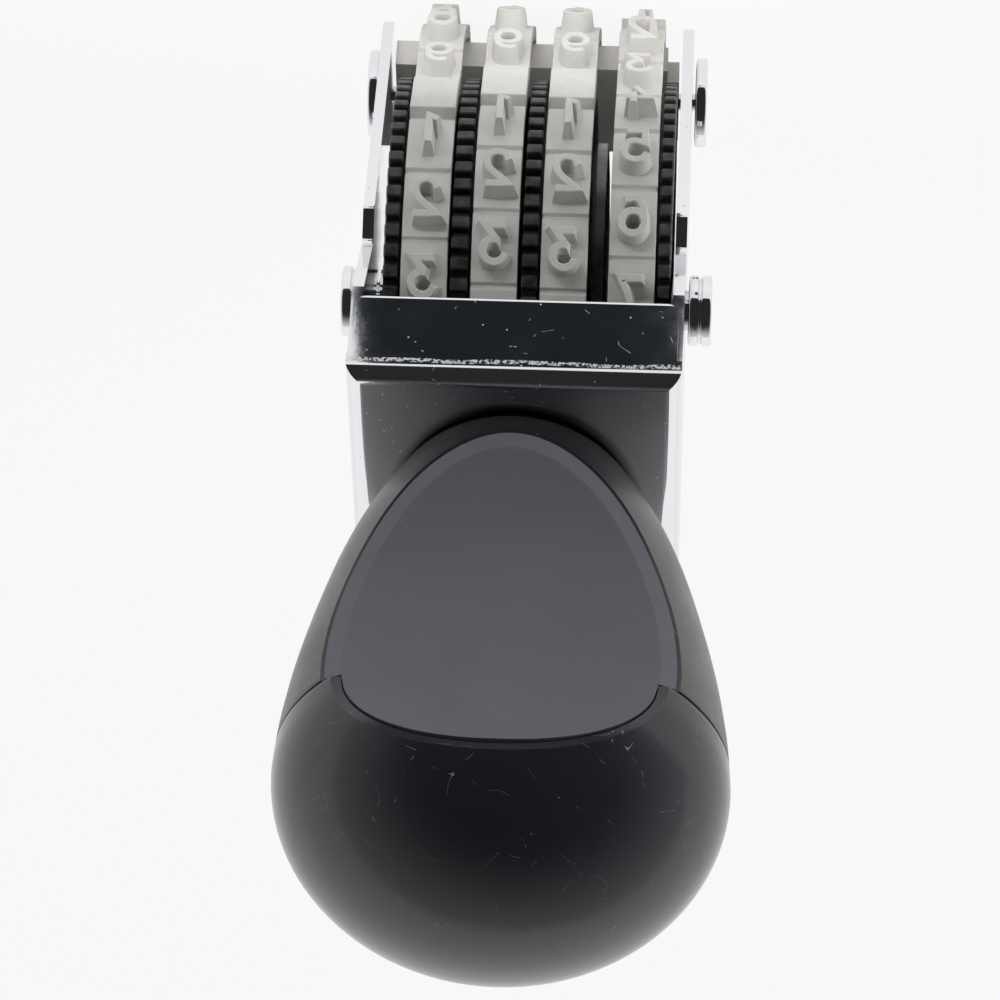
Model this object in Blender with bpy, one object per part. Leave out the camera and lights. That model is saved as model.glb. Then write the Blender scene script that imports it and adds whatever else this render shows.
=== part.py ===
"""Roller stamp with four number wheels, in metres with +Z up and the print plane at Z = 0.

Every mesh is drawn about the wheel axle, with X along it, and placed at the axle's height.
The front of the stamp faces -Y.
"""

import math

import bmesh
import bpy
from mathutils import Vector

MM = 0.001
HALF_TURN = math.pi
FULL_TURN = math.tau

# Shared values
GAP = 0.3 * MM
CUT_MARGIN = 4.0 * MM
MERGE = 0.001 * MM
SHEET = 1.0 * MM

# Number bands: the path is that of the band's inner face, seen from the +X side
BAND_RADIUS = 19.2 * MM
BAND_THICKNESS = 1.2 * MM
BAND_WIDTH = 4.05 * MM
BAND_LEAVES_DEG = -15.0
BAND_DROP = 26.4 * MM
BAND_CORNER_FRONT = 6.3 * MM
BAND_CORNER_RADIUS = 1.6 * MM
BAND_STEP = 0.25 * MM
# Points of the bulge below the wheel, as shares of the band's radius and drop
BAND_BULGE_SHARES = ((0.849, 0.3864), (0.7474, 0.5758), (0.6458, 0.7765))
BAND_ARC_STEPS = 60
BAND_BULGE_STEPS = 10
BAND_CORNER_STEPS = 8
TILE_COUNT = 21
TILE_NOTCH_WIDTH = 0.3 * MM
TILE_NOTCH_DEPTH = 0.35 * MM
TILE_INNER_SHARES = (0.34, 0.66)
BLANK_RELIEF = 0.9 * MM
# Angle of one tile joint on the front of each band, and the digit just below it
BAND_JOINTS = ((22.5, "2"), (14.5, "2"), (15.4, "2"), (7.0, "5"))

# Raised digits, mirrored as on all type, with their tops towards the print end
DIGIT_RELIEF = 1.8 * MM
DIGIT_SINK = 0.4 * MM
DIGIT_SIDE_ROOM = 0.48 * MM
DIGIT_END_ROOM = 1.17 * MM
STROKE_TOP = 0.6 * MM
STROKE_BASE = 1.1 * MM
SECOND_STROKE_DROP = 0.04 * MM
MITRE_LIMIT = 2.0
BEND_LIMIT_DEG = 16.0
BAND_ORDER = ("blank", "9", "8", "7", "6", "5", "4", "3", "2", "1", "0",
              "blank", "9", "8", "7", "6", "5", "4", "3", "2", "1")
LOOP_SHARES = ((-0.5, -0.2), (-0.25, 0.08), (0.25, 0.08), (0.5, -0.2), (0.25, -0.5), (-0.25, -0.5))
TAIL_SHARES = ((-0.5, -0.2), (-0.46, 0.18), (-0.16, 0.5), (0.38, 0.48))
# Each stroke is (closed, points), as shares of the digit's width and height
DIGIT_SHARES = {
    "0": ((True, ((-0.5, -0.2), (-0.5, 0.2), (-0.25, 0.5), (0.25, 0.5),
                  (0.5, 0.2), (0.5, -0.2), (0.25, -0.5), (-0.25, -0.5))),),
    "1": ((False, ((-0.4, 0.2), (0.06, 0.5), (0.06, -0.5))),),
    "2": ((False, ((-0.5, 0.22), (-0.3, 0.5), (0.25, 0.5), (0.5, 0.26),
                   (0.36, -0.02), (-0.42, -0.5), (0.5, -0.5))),),
    "3": ((False, ((-0.45, 0.5), (0.42, 0.5), (-0.06, 0.12), (0.3, 0.06),
                   (0.5, -0.2), (0.25, -0.5), (-0.3, -0.5), (-0.5, -0.3))),),
    "4": ((False, ((0.16, 0.5), (-0.42, -0.2), (0.5, -0.2))),
          (False, ((0.2, 0.12), (0.2, -0.5)))),
    "5": ((False, ((0.42, 0.5), (-0.4, 0.5), (-0.46, 0.06), (0.2, 0.1),
                   (0.5, -0.18), (0.25, -0.5), (-0.3, -0.5), (-0.5, -0.32))),),
    "6": ((True, LOOP_SHARES), (False, TAIL_SHARES)),
    "7": ((False, ((-0.5, 0.5), (0.45, 0.5), (-0.1, -0.5))),),
    "8": ((True, ((-0.5, -0.24), (-0.25, 0.04), (0.25, 0.04), (0.5, -0.24), (0.25, -0.5), (-0.25, -0.5))),
          (True, ((-0.42, 0.27), (-0.22, 0.04), (0.22, 0.04), (0.42, 0.27), (0.22, 0.5), (-0.22, 0.5)))),
    "9": ((True, tuple((-x, -y) for x, y in LOOP_SHARES)),
          (False, tuple((-x, -y) for x, y in TAIL_SHARES))),
}

# Number wheels: toothed rims beside the bands and plain drums under them
TEETH = 68
RIM_STAND = 1.16 * MM
RIM_1_WIDTH = 1.3 * MM
RIM_2_WIDTH = 1.55 * MM
RIM_3_WIDTH = 1.4 * MM
RIM_4_WIDTH = 1.1 * MM
TOOTH_DEPTH = 0.8 * MM
TOOTH_TIP_SHARE = 0.52
TOOTH_ROOT_SHARE = 0.26
DRUM_SINK = 0.35 * MM
# Angle of one tooth of each rim above the front
TOOTH_ANGLES_DEG = (35.6, 33.2, 32.1, 33.8)
RIM_RADIUS = BAND_RADIUS + RIM_STAND

# Divider plate between the third and fourth bands
DIVIDER_WIDTH = 1.0 * MM
DIVIDER_INSET = 0.5 * MM
DIVIDER_END_DEG = -15.0
DIVIDER_FOOT_DROP = 8.0 * MM
DIVIDER_FOOT_HALF = 9.0 * MM
DIVIDER_CORNER = 2.5 * MM
DIVIDER_STEPS = 30

# Stack between the side plates from +X to -X: each piece's name and width, and the room after it
LEFT_ROOM = 1.4 * MM
RIGHT_ROOM = 0.3 * MM
RIM_ROOM = 0.25 * MM
DRUM_ROOM = 0.35 * MM
DIVIDER_ROOM = 0.425 * MM
STACK = (
    ("", 0.0, LEFT_ROOM),
    ("rim_1", RIM_1_WIDTH, RIM_ROOM),
    ("band_1", BAND_WIDTH, RIM_ROOM),
    ("rim_2", RIM_2_WIDTH, RIM_ROOM),
    ("band_2", BAND_WIDTH, DRUM_ROOM),
    ("rim_3", RIM_3_WIDTH, RIM_ROOM),
    ("band_3", BAND_WIDTH, DIVIDER_ROOM),
    ("divider", DIVIDER_WIDTH, DIVIDER_ROOM),
    ("band_4", BAND_WIDTH, RIM_ROOM),
    ("rim_4", RIM_4_WIDTH, RIGHT_ROOM),
)
INNER_HALF_WIDTH = sum(width + room for _, width, room in STACK) / 2

# Frame, bent from one sheet round the bands
TOP_ROOM = 0.6 * MM
FLANGE_LEAD = 1.1 * MM
FLANGE_DROP = 8.6 * MM
FLANGE_CORNER = 1.0 * MM
FLANGE_INSET = 0.45 * MM
RELIEF_DROP = 2.4 * MM
BEND_RADIUS = 1.5 * MM
SHOULDER_RADIUS = 0.9 * MM
WAIST_RADIUS = 0.8 * MM
WAIST_INSET = 8.0 * MM
WAIST_RISE = 3.0 * MM
HIP_LEAD = 1.6 * MM
HIP_RISE = 0.2 * MM
FOOT_LEAD = 0.7 * MM
FOOT_LIFT = 1.5 * MM
FOOT_RADIUS = 1.4 * MM
AXLE_HEIGHT = BAND_DROP + BAND_THICKNESS + DIGIT_RELIEF
FRAME_HALF_WIDTH = INNER_HALF_WIDTH + SHEET
FRAME_TOP = BAND_RADIUS + BAND_THICKNESS + DIGIT_RELIEF + TOP_ROOM + SHEET
FRAME_FRONT = BAND_RADIUS + FLANGE_LEAD
FLANGE_BOTTOM = FRAME_TOP - FLANGE_DROP
RELIEF_TOP = FRAME_TOP - RELIEF_DROP
WAIST_FRONT = FRAME_FRONT - WAIST_INSET
HIP_FRONT = WAIST_FRONT + HIP_LEAD
FOOT_FRONT = BAND_CORNER_FRONT + FOOT_LEAD
FOOT_Z = FOOT_LIFT - AXLE_HEIGHT

# Axle, collars and round heads
AXLE_RADIUS = 1.8 * MM
AXLE_CAP_RADIUS = 3.2 * MM
AXLE_CAP_REACH = 2.36 * MM
AXLE_CAP_WALL = 0.5 * MM
CAP_GROOVE = 0.25 * MM
SPACER_RADIUS = 3.0 * MM
PIN_RADIUS = 0.8 * MM
PIN_HEAD_RADIUS = 4.15 * MM
PIN_HEAD_REACH = 1.33 * MM
PIN_HEAD_WALL = 0.4 * MM
HEAD_EDGE = 0.25 * MM

# Anvil bar at the print end, inside the bands
ANVIL_ROOM = 0.4 * MM
ANVIL_HEIGHT = 2.9 * MM
ANVIL_PIN_RISE = 1.6 * MM
ANVIL_EDGE = 0.2 * MM
NECK_LENGTH = 1.05 * MM
NECK_INSET = 1.7 * MM
NECK_LIFT = 0.3 * MM
NECK_DROP = 0.1 * MM
ANVIL_HALF_DEPTH = BAND_CORNER_FRONT - ANVIL_ROOM
ANVIL_BOTTOM = GAP - BAND_DROP
ANVIL_TOP = ANVIL_BOTTOM + ANVIL_HEIGHT
ANVIL_PIN_Z = ANVIL_BOTTOM + ANVIL_PIN_RISE

# Handle
BODY_HEIGHT = 25.9 * MM
HANDLE_BASE_EDGE = 0.5 * MM
SEAM_GAP = 0.3 * MM
SEAM_EDGE = 0.25 * MM
BULB_LIFT = 2.0 * MM
BULB_RADIUS = 19.53 * MM
BULB_RISE = 15.8 * MM
SPIGOT_INSET = 3.5 * MM
SPIGOT_RISE = 3.0 * MM
# Oval sections: shares of the height up to the bulb's middle, and of the bulb's radius
HANDLE_WIDTH_SHARES = ((0.0, 0.5658), (0.1039, 0.6703), (0.2473, 0.7681), (0.4265, 0.8531), (0.6416, 0.9324),
                       (0.8208, 0.9775), (0.9283, 0.9939), (1.0, 1.0))
HANDLE_DEPTH_SHARES = ((0.0, 0.8116), (0.2473, 0.8986), (0.5699, 0.9503), (0.9283, 0.9939), (1.0, 1.0))
BODY_RINGS = 9
CAP_RINGS = 9
CROWN_SHARE = 0.956
ROUND_STEPS = 52
HANDLE_BASE = FRAME_TOP + GAP
HANDLE_SEAM = HANDLE_BASE + BODY_HEIGHT
BULB_CENTRE = HANDLE_SEAM + BULB_LIFT

# Scooped front, and the label in it
SCOOP_RADIUS = 31.0 * MM
SCOOP_DEPTH = 7.03 * MM
SCOOP_DROP = 6.95 * MM
SCOOP_STEPS = 150
LABEL_THICKNESS = 0.9 * MM
LABEL_BORDER_DROP = 0.6 * MM
LABEL_BORDER = 1.5 * MM
LABEL_END_INSET = 2.3 * MM
LABEL_EDGE_WIDTH = 0.1 * MM
LABEL_INSET = 0.06 * MM
LABEL_LIFT = 2.5 * MM
LABEL_STEPS = 12
POCKET_SIDE = 0.2 * MM
POCKET_END = 0.75 * MM
SCOOP_FRONT = BULB_RADIUS - SCOOP_DEPTH + SCOOP_RADIUS
SCOOP_Z = HANDLE_SEAM - SCOOP_DROP
SPIGOT_RADIUS = BULB_RADIUS - SCOOP_DEPTH - SPIGOT_INSET

# Screw that holds the handle
SCREW_RADIUS = 1.6 * MM
SCREW_HEAD_RADIUS = 3.1 * MM
SCREW_REACH = 11.9 * MM
SCREW_HEAD_LIFT = 0.05 * MM
SCREW_SOCKET_RADIUS = 1.1 * MM
SCREW_SOCKET_DEPTH = 0.6 * MM
SCREW_TOP = HANDLE_BASE + SCREW_REACH
SCREW_HEAD_BOTTOM = FRAME_TOP - SHEET + SCREW_HEAD_LIFT

# Steps of turned pieces and rounded corners
CORNER_STEPS = 4
ANVIL_CORNER_STEPS = 2
ROD_STEPS = 24
PIN_STEPS = 16
ROUND_HEAD_STEPS = 30
DRUM_STEPS = 54

# Colour, roughness and metallic of each material
MATERIAL_VALUES = {
    "chrome": ((0.78, 0.79, 0.80), 0.12, 1.0),
    "steel": ((0.60, 0.61, 0.62), 0.25, 1.0),
    "black_plastic": ((0.012, 0.012, 0.014), 0.35, 0.0),
    "black_gloss": ((0.008, 0.008, 0.010), 0.12, 0.0),
    "label_grey": ((0.075, 0.072, 0.082), 0.5, 0.0),
    "wheel_black": ((0.015, 0.015, 0.016), 0.45, 0.0),
    "band_rubber": ((0.56, 0.55, 0.52), 0.6, 0.0),
    "anvil_white": ((0.78, 0.76, 0.72), 0.5, 0.0),
    "divider_grey": ((0.30, 0.29, 0.31), 0.4, 0.0),
}


def clear_scene():
    for thing in list(bpy.data.objects):
        bpy.data.objects.remove(thing, do_unlink=True)


def material(node, kind):
    made = bpy.data.materials.new(node)
    made.use_nodes = True
    shader = made.node_tree.nodes["Principled BSDF"]
    colour, roughness, metallic = MATERIAL_VALUES[kind]
    shader.inputs["Base Color"].default_value = (*colour, 1.0)
    shader.inputs["Roughness"].default_value = roughness
    shader.inputs["Metallic"].default_value = metallic
    made.diffuse_color = (*colour, 1.0)
    return made


def object_from(mesh_data, name):
    """Turn a bmesh into an object placed at the axle's height."""
    bmesh.ops.remove_doubles(mesh_data, verts=mesh_data.verts[:], dist=MERGE)
    bmesh.ops.dissolve_degenerate(mesh_data, edges=mesh_data.edges[:], dist=MERGE)
    bmesh.ops.recalc_face_normals(mesh_data, faces=mesh_data.faces[:])
    mesh = bpy.data.meshes.new(name)
    mesh_data.to_mesh(mesh)
    mesh_data.free()
    made = bpy.data.objects.new(name, mesh)
    made.location = (0, 0, AXLE_HEIGHT)
    bpy.context.scene.collection.objects.link(made)
    return made


def combine(base, other, operation):
    """Apply one exact Boolean and drop the second object."""
    other.hide_render = True
    other.display_type = "WIRE"
    step = base.modifiers.new(operation, "BOOLEAN")
    step.operation = operation
    step.solver = "EXACT"
    step.object = other
    bpy.context.view_layer.update()
    solved = base.evaluated_get(bpy.context.evaluated_depsgraph_get())
    mesh = bpy.data.meshes.new_from_object(solved)
    base.modifiers.clear()
    base.data = mesh
    bpy.data.objects.remove(other, do_unlink=True)
    return base


def cut(base, other):
    return combine(base, other, "DIFFERENCE")


def join(base, other):
    return combine(base, other, "UNION")


def finish(made, kind, smooth_deg=0.0):
    """Give the object its one material and, if asked, smooth shading up to an angle."""
    made.data.materials.clear()
    made.data.materials.append(material(made.name, kind))
    made.data.name = made.name
    for face in made.data.polygons:
        face.material_index = 0
    if smooth_deg:
        made.data.shade_smooth()
        made.data.set_sharp_from_angle(angle=math.radians(smooth_deg))
    return made


def prism(name, outline, low, high, axis="X"):
    """Extrude a closed outline: (y, z) points along X, or (x, z) points along Y."""
    mesh = bmesh.new()
    if axis == "X":
        first = [mesh.verts.new((low, y, z)) for y, z in outline]
        last = [mesh.verts.new((high, y, z)) for y, z in outline]
    else:
        first = [mesh.verts.new((x, low, z)) for x, z in outline]
        last = [mesh.verts.new((x, high, z)) for x, z in outline]
    mesh.faces.new(first)
    mesh.faces.new(last)
    for i in range(len(outline)):
        j = (i + 1) % len(outline)
        mesh.faces.new((first[i], first[j], last[j], last[i]))
    return object_from(mesh, name)


def rounded(corners, steps=CORNER_STEPS):
    """Replace each (y, z, radius) corner by an arc of that radius."""
    outline = []
    count = len(corners)
    for i, (y, z, radius) in enumerate(corners):
        here = Vector((y, z))
        if not radius:
            outline.append((y, z))
            continue
        before = (Vector(corners[i - 1][:2]) - here).normalized()
        after = (Vector(corners[(i + 1) % count][:2]) - here).normalized()
        half = before.angle(after) / 2
        centre = here + (before + after).normalized() * (radius / math.sin(half))
        start = here + before * (radius / math.tan(half)) - centre
        end = here + after * (radius / math.tan(half)) - centre
        for k in range(steps + 1):
            turn = (start * (1 - k / steps) + end * (k / steps)).normalized() * radius
            outline.append(tuple(centre + turn))
    return outline


def lathe(name, profile, steps=ROD_STEPS, centre=(0.0, 0.0), axis="X"):
    """Turn a closed (along, radius) profile about an axis along X or Z."""
    mesh = bmesh.new()
    rings = []
    for k in range(steps):
        turn = FULL_TURN * k / steps
        ring = []
        for along, radius in profile:
            a = centre[0] + radius * math.cos(turn)
            b = centre[1] + radius * math.sin(turn)
            ring.append(mesh.verts.new((along, a, b) if axis == "X" else (a, b, along)))
        rings.append(ring)
    for k in range(steps):
        this, following = rings[k], rings[(k + 1) % steps]
        for i in range(len(profile) - 1):
            quad = (this[i], this[i + 1], following[i + 1], following[i])
            mesh.faces.new(quad)
    return object_from(mesh, name)


def rod(name, low, high, radius, steps=ROD_STEPS, centre=(0.0, 0.0), axis="X"):
    profile = ((low, 0.0), (low, radius), (high, radius), (high, 0.0))
    return lathe(name, profile, steps, centre, axis)


def mirrored(front):
    """Close a (y, z) outline given for the front, with its copy at the back."""
    return [(-y, z, r) for y, z, r in front] + [(y, z, r) for y, z, r in reversed(front)]


def side_outline():
    front = (
        (FRAME_FRONT, FRAME_TOP, BEND_RADIUS),
        (FRAME_FRONT, FLANGE_BOTTOM, SHOULDER_RADIUS),
        (WAIST_FRONT, WAIST_RISE, WAIST_RADIUS),
        (HIP_FRONT, HIP_RISE, WAIST_RADIUS),
        (FOOT_FRONT, FOOT_Z, FOOT_RADIUS),
    )
    return rounded(mirrored(front))


def build_frame():
    floor = FOOT_Z - CUT_MARGIN
    inner = INNER_HALF_WIDTH
    under = FRAME_TOP - SHEET
    bend = BEND_RADIUS - SHEET
    frame = prism("frame", side_outline(), -FRAME_HALF_WIDTH, FRAME_HALF_WIDTH)
    outer = mirrored(((FRAME_HALF_WIDTH, FRAME_TOP, BEND_RADIUS), (FRAME_HALF_WIDTH, floor, 0.0)))
    reach = FRAME_FRONT + CUT_MARGIN
    combine(frame, prism("outer", rounded(outer), -reach, reach, "Y"), "INTERSECT")
    across = mirrored(((inner, under, bend), (inner, floor, 0.0)))
    along = mirrored(((FRAME_FRONT - SHEET, under, bend), (FRAME_FRONT - SHEET, floor, 0.0)))
    hollow = prism("hollow", rounded(along), -inner - CUT_MARGIN, inner + CUT_MARGIN)
    combine(hollow, prism("across", rounded(across), -reach, reach, "Y"), "INTERSECT")
    cut(frame, hollow)
    wall = FRAME_HALF_WIDTH + CUT_MARGIN
    for side in (1, -1):
        free_flange(frame, side, wall, floor)
    cut(frame, rod("axle_hole", -wall, wall, AXLE_RADIUS + GAP))
    cut(frame, rod("pin_hole", -wall, wall, PIN_RADIUS + GAP, PIN_STEPS, (0.0, ANVIL_PIN_Z)))
    cut(frame, countersink())
    return finish(frame, "chrome", 40.0)


def free_flange(frame, side, wall, floor):
    """Cut one flange free of the side plates: a slit behind it, and its own outline."""
    behind = side * (FRAME_FRONT - SHEET)
    plate = side * (FRAME_FRONT - SHEET - GAP)
    reach = side * (FRAME_FRONT + CUT_MARGIN)
    slit = [(behind, floor), (behind, RELIEF_TOP), (plate, RELIEF_TOP), (plate, floor)]
    cut(frame, prism("slit", slit, -wall, wall))
    half = FRAME_HALF_WIDTH - FLANGE_INSET
    edge = rounded(mirrored(((half, RELIEF_TOP, 0.0), (half, FLANGE_BOTTOM, FLANGE_CORNER))))
    outside = [(-wall, floor), (-wall, RELIEF_TOP), *edge, (wall, RELIEF_TOP), (wall, floor)]
    cut(frame, prism("outside", outside, *sorted(((behind + plate) / 2, reach)), "Y"))


def countersink():
    narrow = SCREW_RADIUS + GAP
    wide = SCREW_HEAD_RADIUS + GAP
    under = FRAME_TOP - SHEET
    profile = (
        (under - CUT_MARGIN, 0.0), (under - CUT_MARGIN, wide), (under, wide),
        (FRAME_TOP - GAP, narrow), (FRAME_TOP + CUT_MARGIN, narrow), (FRAME_TOP + CUT_MARGIN, 0.0),
    )
    return lathe("countersink", profile, axis="Z")


def build_axle():
    reach = FRAME_HALF_WIDTH + AXLE_CAP_REACH - AXLE_CAP_WALL - GAP
    return finish(rod("wheel_axle", -reach, reach, AXLE_RADIUS), "steel", 40.0)


def build_anvil_pin():
    reach = FRAME_HALF_WIDTH + PIN_HEAD_REACH - PIN_HEAD_WALL - GAP
    made = rod("anvil_pin", -reach, reach, PIN_RADIUS, PIN_STEPS, (0.0, ANVIL_PIN_Z))
    return finish(made, "steel", 40.0)


def head(name, side, radius, reach, wall, bore, centre, groove):
    """A round head outside a side plate, on the end of its rod."""
    start = FRAME_HALF_WIDTH + GAP
    end = FRAME_HALF_WIDTH + reach
    middle = (start + end) / 2
    edge = HEAD_EDGE
    profile = [(start, bore), (start, radius - edge), (start + edge, radius)]
    if groove:
        profile += [(middle - groove, radius), (middle, radius - groove), (middle + groove, radius)]
    profile += [(end - edge, radius), (end, radius - edge), (end, 0.0), (end - wall, 0.0),
                (end - wall, bore), (start, bore)]
    made = lathe(name, [(side * x, r) for x, r in profile], ROUND_HEAD_STEPS, centre)
    return finish(made, "chrome", 40.0)


def build_heads():
    for side, word in ((1, "left"), (-1, "right")):
        head("axle_cap_" + word, side, AXLE_CAP_RADIUS, AXLE_CAP_REACH, AXLE_CAP_WALL,
             AXLE_RADIUS + GAP, (0.0, 0.0), CAP_GROOVE)
        head("anvil_pin_head_" + word, side, PIN_HEAD_RADIUS, PIN_HEAD_REACH, PIN_HEAD_WALL,
             PIN_RADIUS + GAP, (0.0, ANVIL_PIN_Z), 0.0)


def stack_span(piece):
    """Low and high end along X of a piece in the stack between the side plates."""
    place = INNER_HALF_WIDTH
    for name, width, room in STACK:
        if name == piece:
            return place - width, place
        place -= width + room
    raise KeyError(piece)


def build_spacers():
    bore = AXLE_RADIUS + GAP
    left = (stack_span("rim_1")[1], INNER_HALF_WIDTH)
    right = (-INNER_HALF_WIDTH, stack_span("rim_4")[0])
    for word, (low, high) in (("left", left), ("right", right)):
        ease = min(GAP / 2, (high - low) / 4)
        low += ease
        high -= ease
        profile = ((low, bore), (low, SPACER_RADIUS), (high, SPACER_RADIUS), (high, bore), (low, bore))
        finish(lathe("hub_spacer_" + word, profile), "steel", 40.0)


def toothed_outline(phase_deg):
    """Rim outline with its teeth counted from the given angle above the front."""
    outline = []
    pitch = FULL_TURN / TEETH
    root = RIM_RADIUS - TOOTH_DEPTH
    tip = pitch * TOOTH_TIP_SHARE / 2
    foot = pitch * (1 - TOOTH_ROOT_SHARE) / 2
    for k in range(TEETH):
        middle = math.radians(phase_deg) + pitch * k
        for offset, radius in ((-foot, root), (-tip, RIM_RADIUS), (tip, RIM_RADIUS), (foot, root)):
            turn = middle + offset
            outline.append((-radius * math.cos(turn), radius * math.sin(turn)))
    return outline


def build_wheel(number, phase_deg):
    """A toothed rim on the drum that carries its band."""
    name = "number_wheel_" + str(number)
    rim_low, rim_high = stack_span("rim_" + str(number))
    band_low, band_high = stack_span("band_" + str(number))
    if rim_low > band_high:
        low, high = band_low, rim_low + DRUM_SINK
    else:
        low, high = rim_high - DRUM_SINK, band_high
    wheel = prism(name, toothed_outline(phase_deg), rim_low, rim_high)
    join(wheel, rod("drum", low, high, BAND_RADIUS - GAP, DRUM_STEPS))
    low = min(rim_low, low) - CUT_MARGIN
    high = max(rim_high, high) + CUT_MARGIN
    cut(wheel, rod("bore", low, high, AXLE_RADIUS + GAP))
    return finish(wheel, "wheel_black", 30.0)


def band_path():
    """Inner face of a band as (front, z) points: down the front from the top to the middle below."""
    points = []
    leaves = math.radians(BAND_LEAVES_DEG)
    for k in range(BAND_ARC_STEPS + 1):
        turn = HALF_TURN / 2 + (leaves - HALF_TURN / 2) * k / BAND_ARC_STEPS
        points.append(Vector((BAND_RADIUS * math.cos(turn), BAND_RADIUS * math.sin(turn))))
    leave = points[-1]
    bulge = [Vector((x * BAND_RADIUS, -z * BAND_DROP)) for x, z in BAND_BULGE_SHARES]
    corner = Vector((BAND_CORNER_FRONT, -BAND_DROP))
    slope = (corner - bulge[-1]).normalized()
    flat = Vector((-1.0, 0.0))
    back = BAND_CORNER_RADIUS / math.tan((HALF_TURN - slope.angle(flat)) / 2)
    along = Vector((math.sin(leaves), -math.cos(leaves)))
    before = leave - (bulge[0] - leave).length * along
    knots = [before, leave, *bulge, corner - slope * back, corner]
    for i in range(1, len(knots) - 2):
        points += curve_between(*knots[i - 1:i + 3])
    end = corner + flat * back
    centre = Vector((end.x, end.y + BAND_CORNER_RADIUS))
    start = points[-1] - centre
    for k in range(1, BAND_CORNER_STEPS + 1):
        share = k / BAND_CORNER_STEPS
        points.append(centre + start.lerp(end - centre, share).normalized() * BAND_CORNER_RADIUS)
    points.append(Vector((0.0, -BAND_DROP)))
    return points


def curve_between(before, start, end, after, steps=BAND_BULGE_STEPS):
    """Points of a Catmull-Rom curve from start to end."""
    found = []
    for k in range(1, steps + 1):
        t = k / steps
        found.append(0.5 * (2 * start + (end - before) * t
                            + (2 * before - 5 * start + 4 * end - after) * t * t
                            + (3 * start - before - 3 * end + after) * t * t * t))
    return found


class Track:
    """The closed path of a band, read by its length from the top down the front."""

    def __init__(self):
        half = band_path()
        back = [Vector((-p.x, p.y)) for p in reversed(half)]
        self.points = half + back[1:-1]
        self.marks = [0.0]
        for i in range(len(self.points)):
            step = self.points[(i + 1) % len(self.points)] - self.points[i]
            self.marks.append(self.marks[-1] + step.length)
        self.length = self.marks[-1]

    def place(self, distance):
        distance %= self.length
        low, high = 0, len(self.marks) - 1
        while high - low > 1:
            middle = (low + high) // 2
            if self.marks[middle] <= distance:
                low = middle
            else:
                high = middle
        share = (distance - self.marks[low]) / (self.marks[low + 1] - self.marks[low])
        return self.points[low].lerp(self.points[(low + 1) % len(self.points)], share)

    def normal(self, distance):
        along = self.place(distance + BAND_STEP) - self.place(distance - BAND_STEP)
        return Vector((-along.y, along.x)).normalized()

    def at(self, distance, height):
        """World (y, z) of a point at a height over the inner face."""
        spot = self.place(distance) + self.normal(distance) * height
        return -spot.x, spot.y


def band_signs(first):
    """Signs of the tiles down the front, from the second place in the order that shows the given one."""
    start = BAND_ORDER.index(first, BAND_ORDER.index(first) + 1)
    return BAND_ORDER[start:] + BAND_ORDER[:start]


def band_base(name, track, start, pitch, signs):
    """The band itself: tiles with a notch at each joint, and blank tiles standing higher."""
    stations = []
    half = TILE_NOTCH_WIDTH / 2
    for k, sign in enumerate(signs):
        joint = start + pitch * k
        height = BAND_THICKNESS + (BLANK_RELIEF if sign == "blank" else 0.0)
        stations.append((joint, BAND_THICKNESS - TILE_NOTCH_DEPTH))
        stations.append((joint + half, height))
        for share in TILE_INNER_SHARES:
            stations.append((joint + pitch * share, height))
        stations.append((joint + pitch - half, height))
    mesh = bmesh.new()
    low, high = stack_span(name.replace("number_", ""))
    rings = []
    for distance, height in stations:
        inner = track.at(distance, 0.0)
        outer = track.at(distance, height)
        rings.append([(low, *inner), (low, *outer), (high, *outer), (high, *inner)])
    skin(mesh, rings, True)
    return object_from(mesh, name)


def skin(mesh, rings, looped):
    """Join rings of corners in order, closed on themselves or capped at both ends."""
    rows = [[mesh.verts.new(corner) for corner in ring] for ring in rings]
    following_rows = rows[1:] + rows[:1] if looped else rows[1:]
    for this, following in zip(rows, following_rows):
        for i in range(len(this)):
            j = (i + 1) % len(this)
            mesh.faces.new((this[i], this[j], following[j], following[i]))
    if not looped:
        mesh.faces.new(rows[0])
        mesh.faces.new(rows[-1])


def stroke_sides(points, closed, half_width):
    """Left and right edges of a stroke, mitred at its corners and lengthened at its ends."""
    left, right = [], []
    count = len(points)
    for i, here in enumerate(points):
        starts = not closed and i == 0
        ends = not closed and i == count - 1
        into = (here - points[i - 1]).normalized()
        out = (points[(i + 1) % count] - here).normalized()
        into = out if starts else into
        out = into if ends else out
        side = (Vector((-into.y, into.x)) + Vector((-out.y, out.x))).normalized()
        stretch = min(MITRE_LIMIT, 1 / max(side.dot(Vector((-out.y, out.x))), 1 / MITRE_LIMIT))
        end = into * (ends - starts) * (half_width - STROKE_TOP / 2)
        left.append(here + end + side * half_width * stretch)
        right.append(here + end - side * half_width * stretch)
    return left, right


def refine(points, closed, track, middle):
    """Split a stroke where the band bends sharply under it."""
    refined = []
    pairs = list(zip(points, points[1:] + points[:1] if closed else points[1:]))
    for here, following in pairs:
        bend = track.normal(middle + here.y).angle(track.normal(middle + following.y))
        parts = 1 + int(math.degrees(bend) // BEND_LIMIT_DEG)
        for k in range(parts):
            refined.append(here.lerp(following, k / parts))
    if not closed:
        refined.append(points[-1])
    return refined


def add_stroke(mesh, points, closed, track, middle, centre_x, drop):
    top = stroke_sides(points, closed, STROKE_TOP / 2)
    base = stroke_sides(points, closed, STROKE_BASE / 2)
    high = BAND_THICKNESS + DIGIT_RELIEF - drop
    low = BAND_THICKNESS - DIGIT_SINK
    rings = []
    for i in range(len(points)):
        corners = ((top[0][i], high), (top[1][i], high), (base[1][i], low), (base[0][i], low))
        rings.append([(centre_x + spot.x, *track.at(middle + spot.y, height)) for spot, height in corners])
    skin(mesh, rings, closed)


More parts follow.
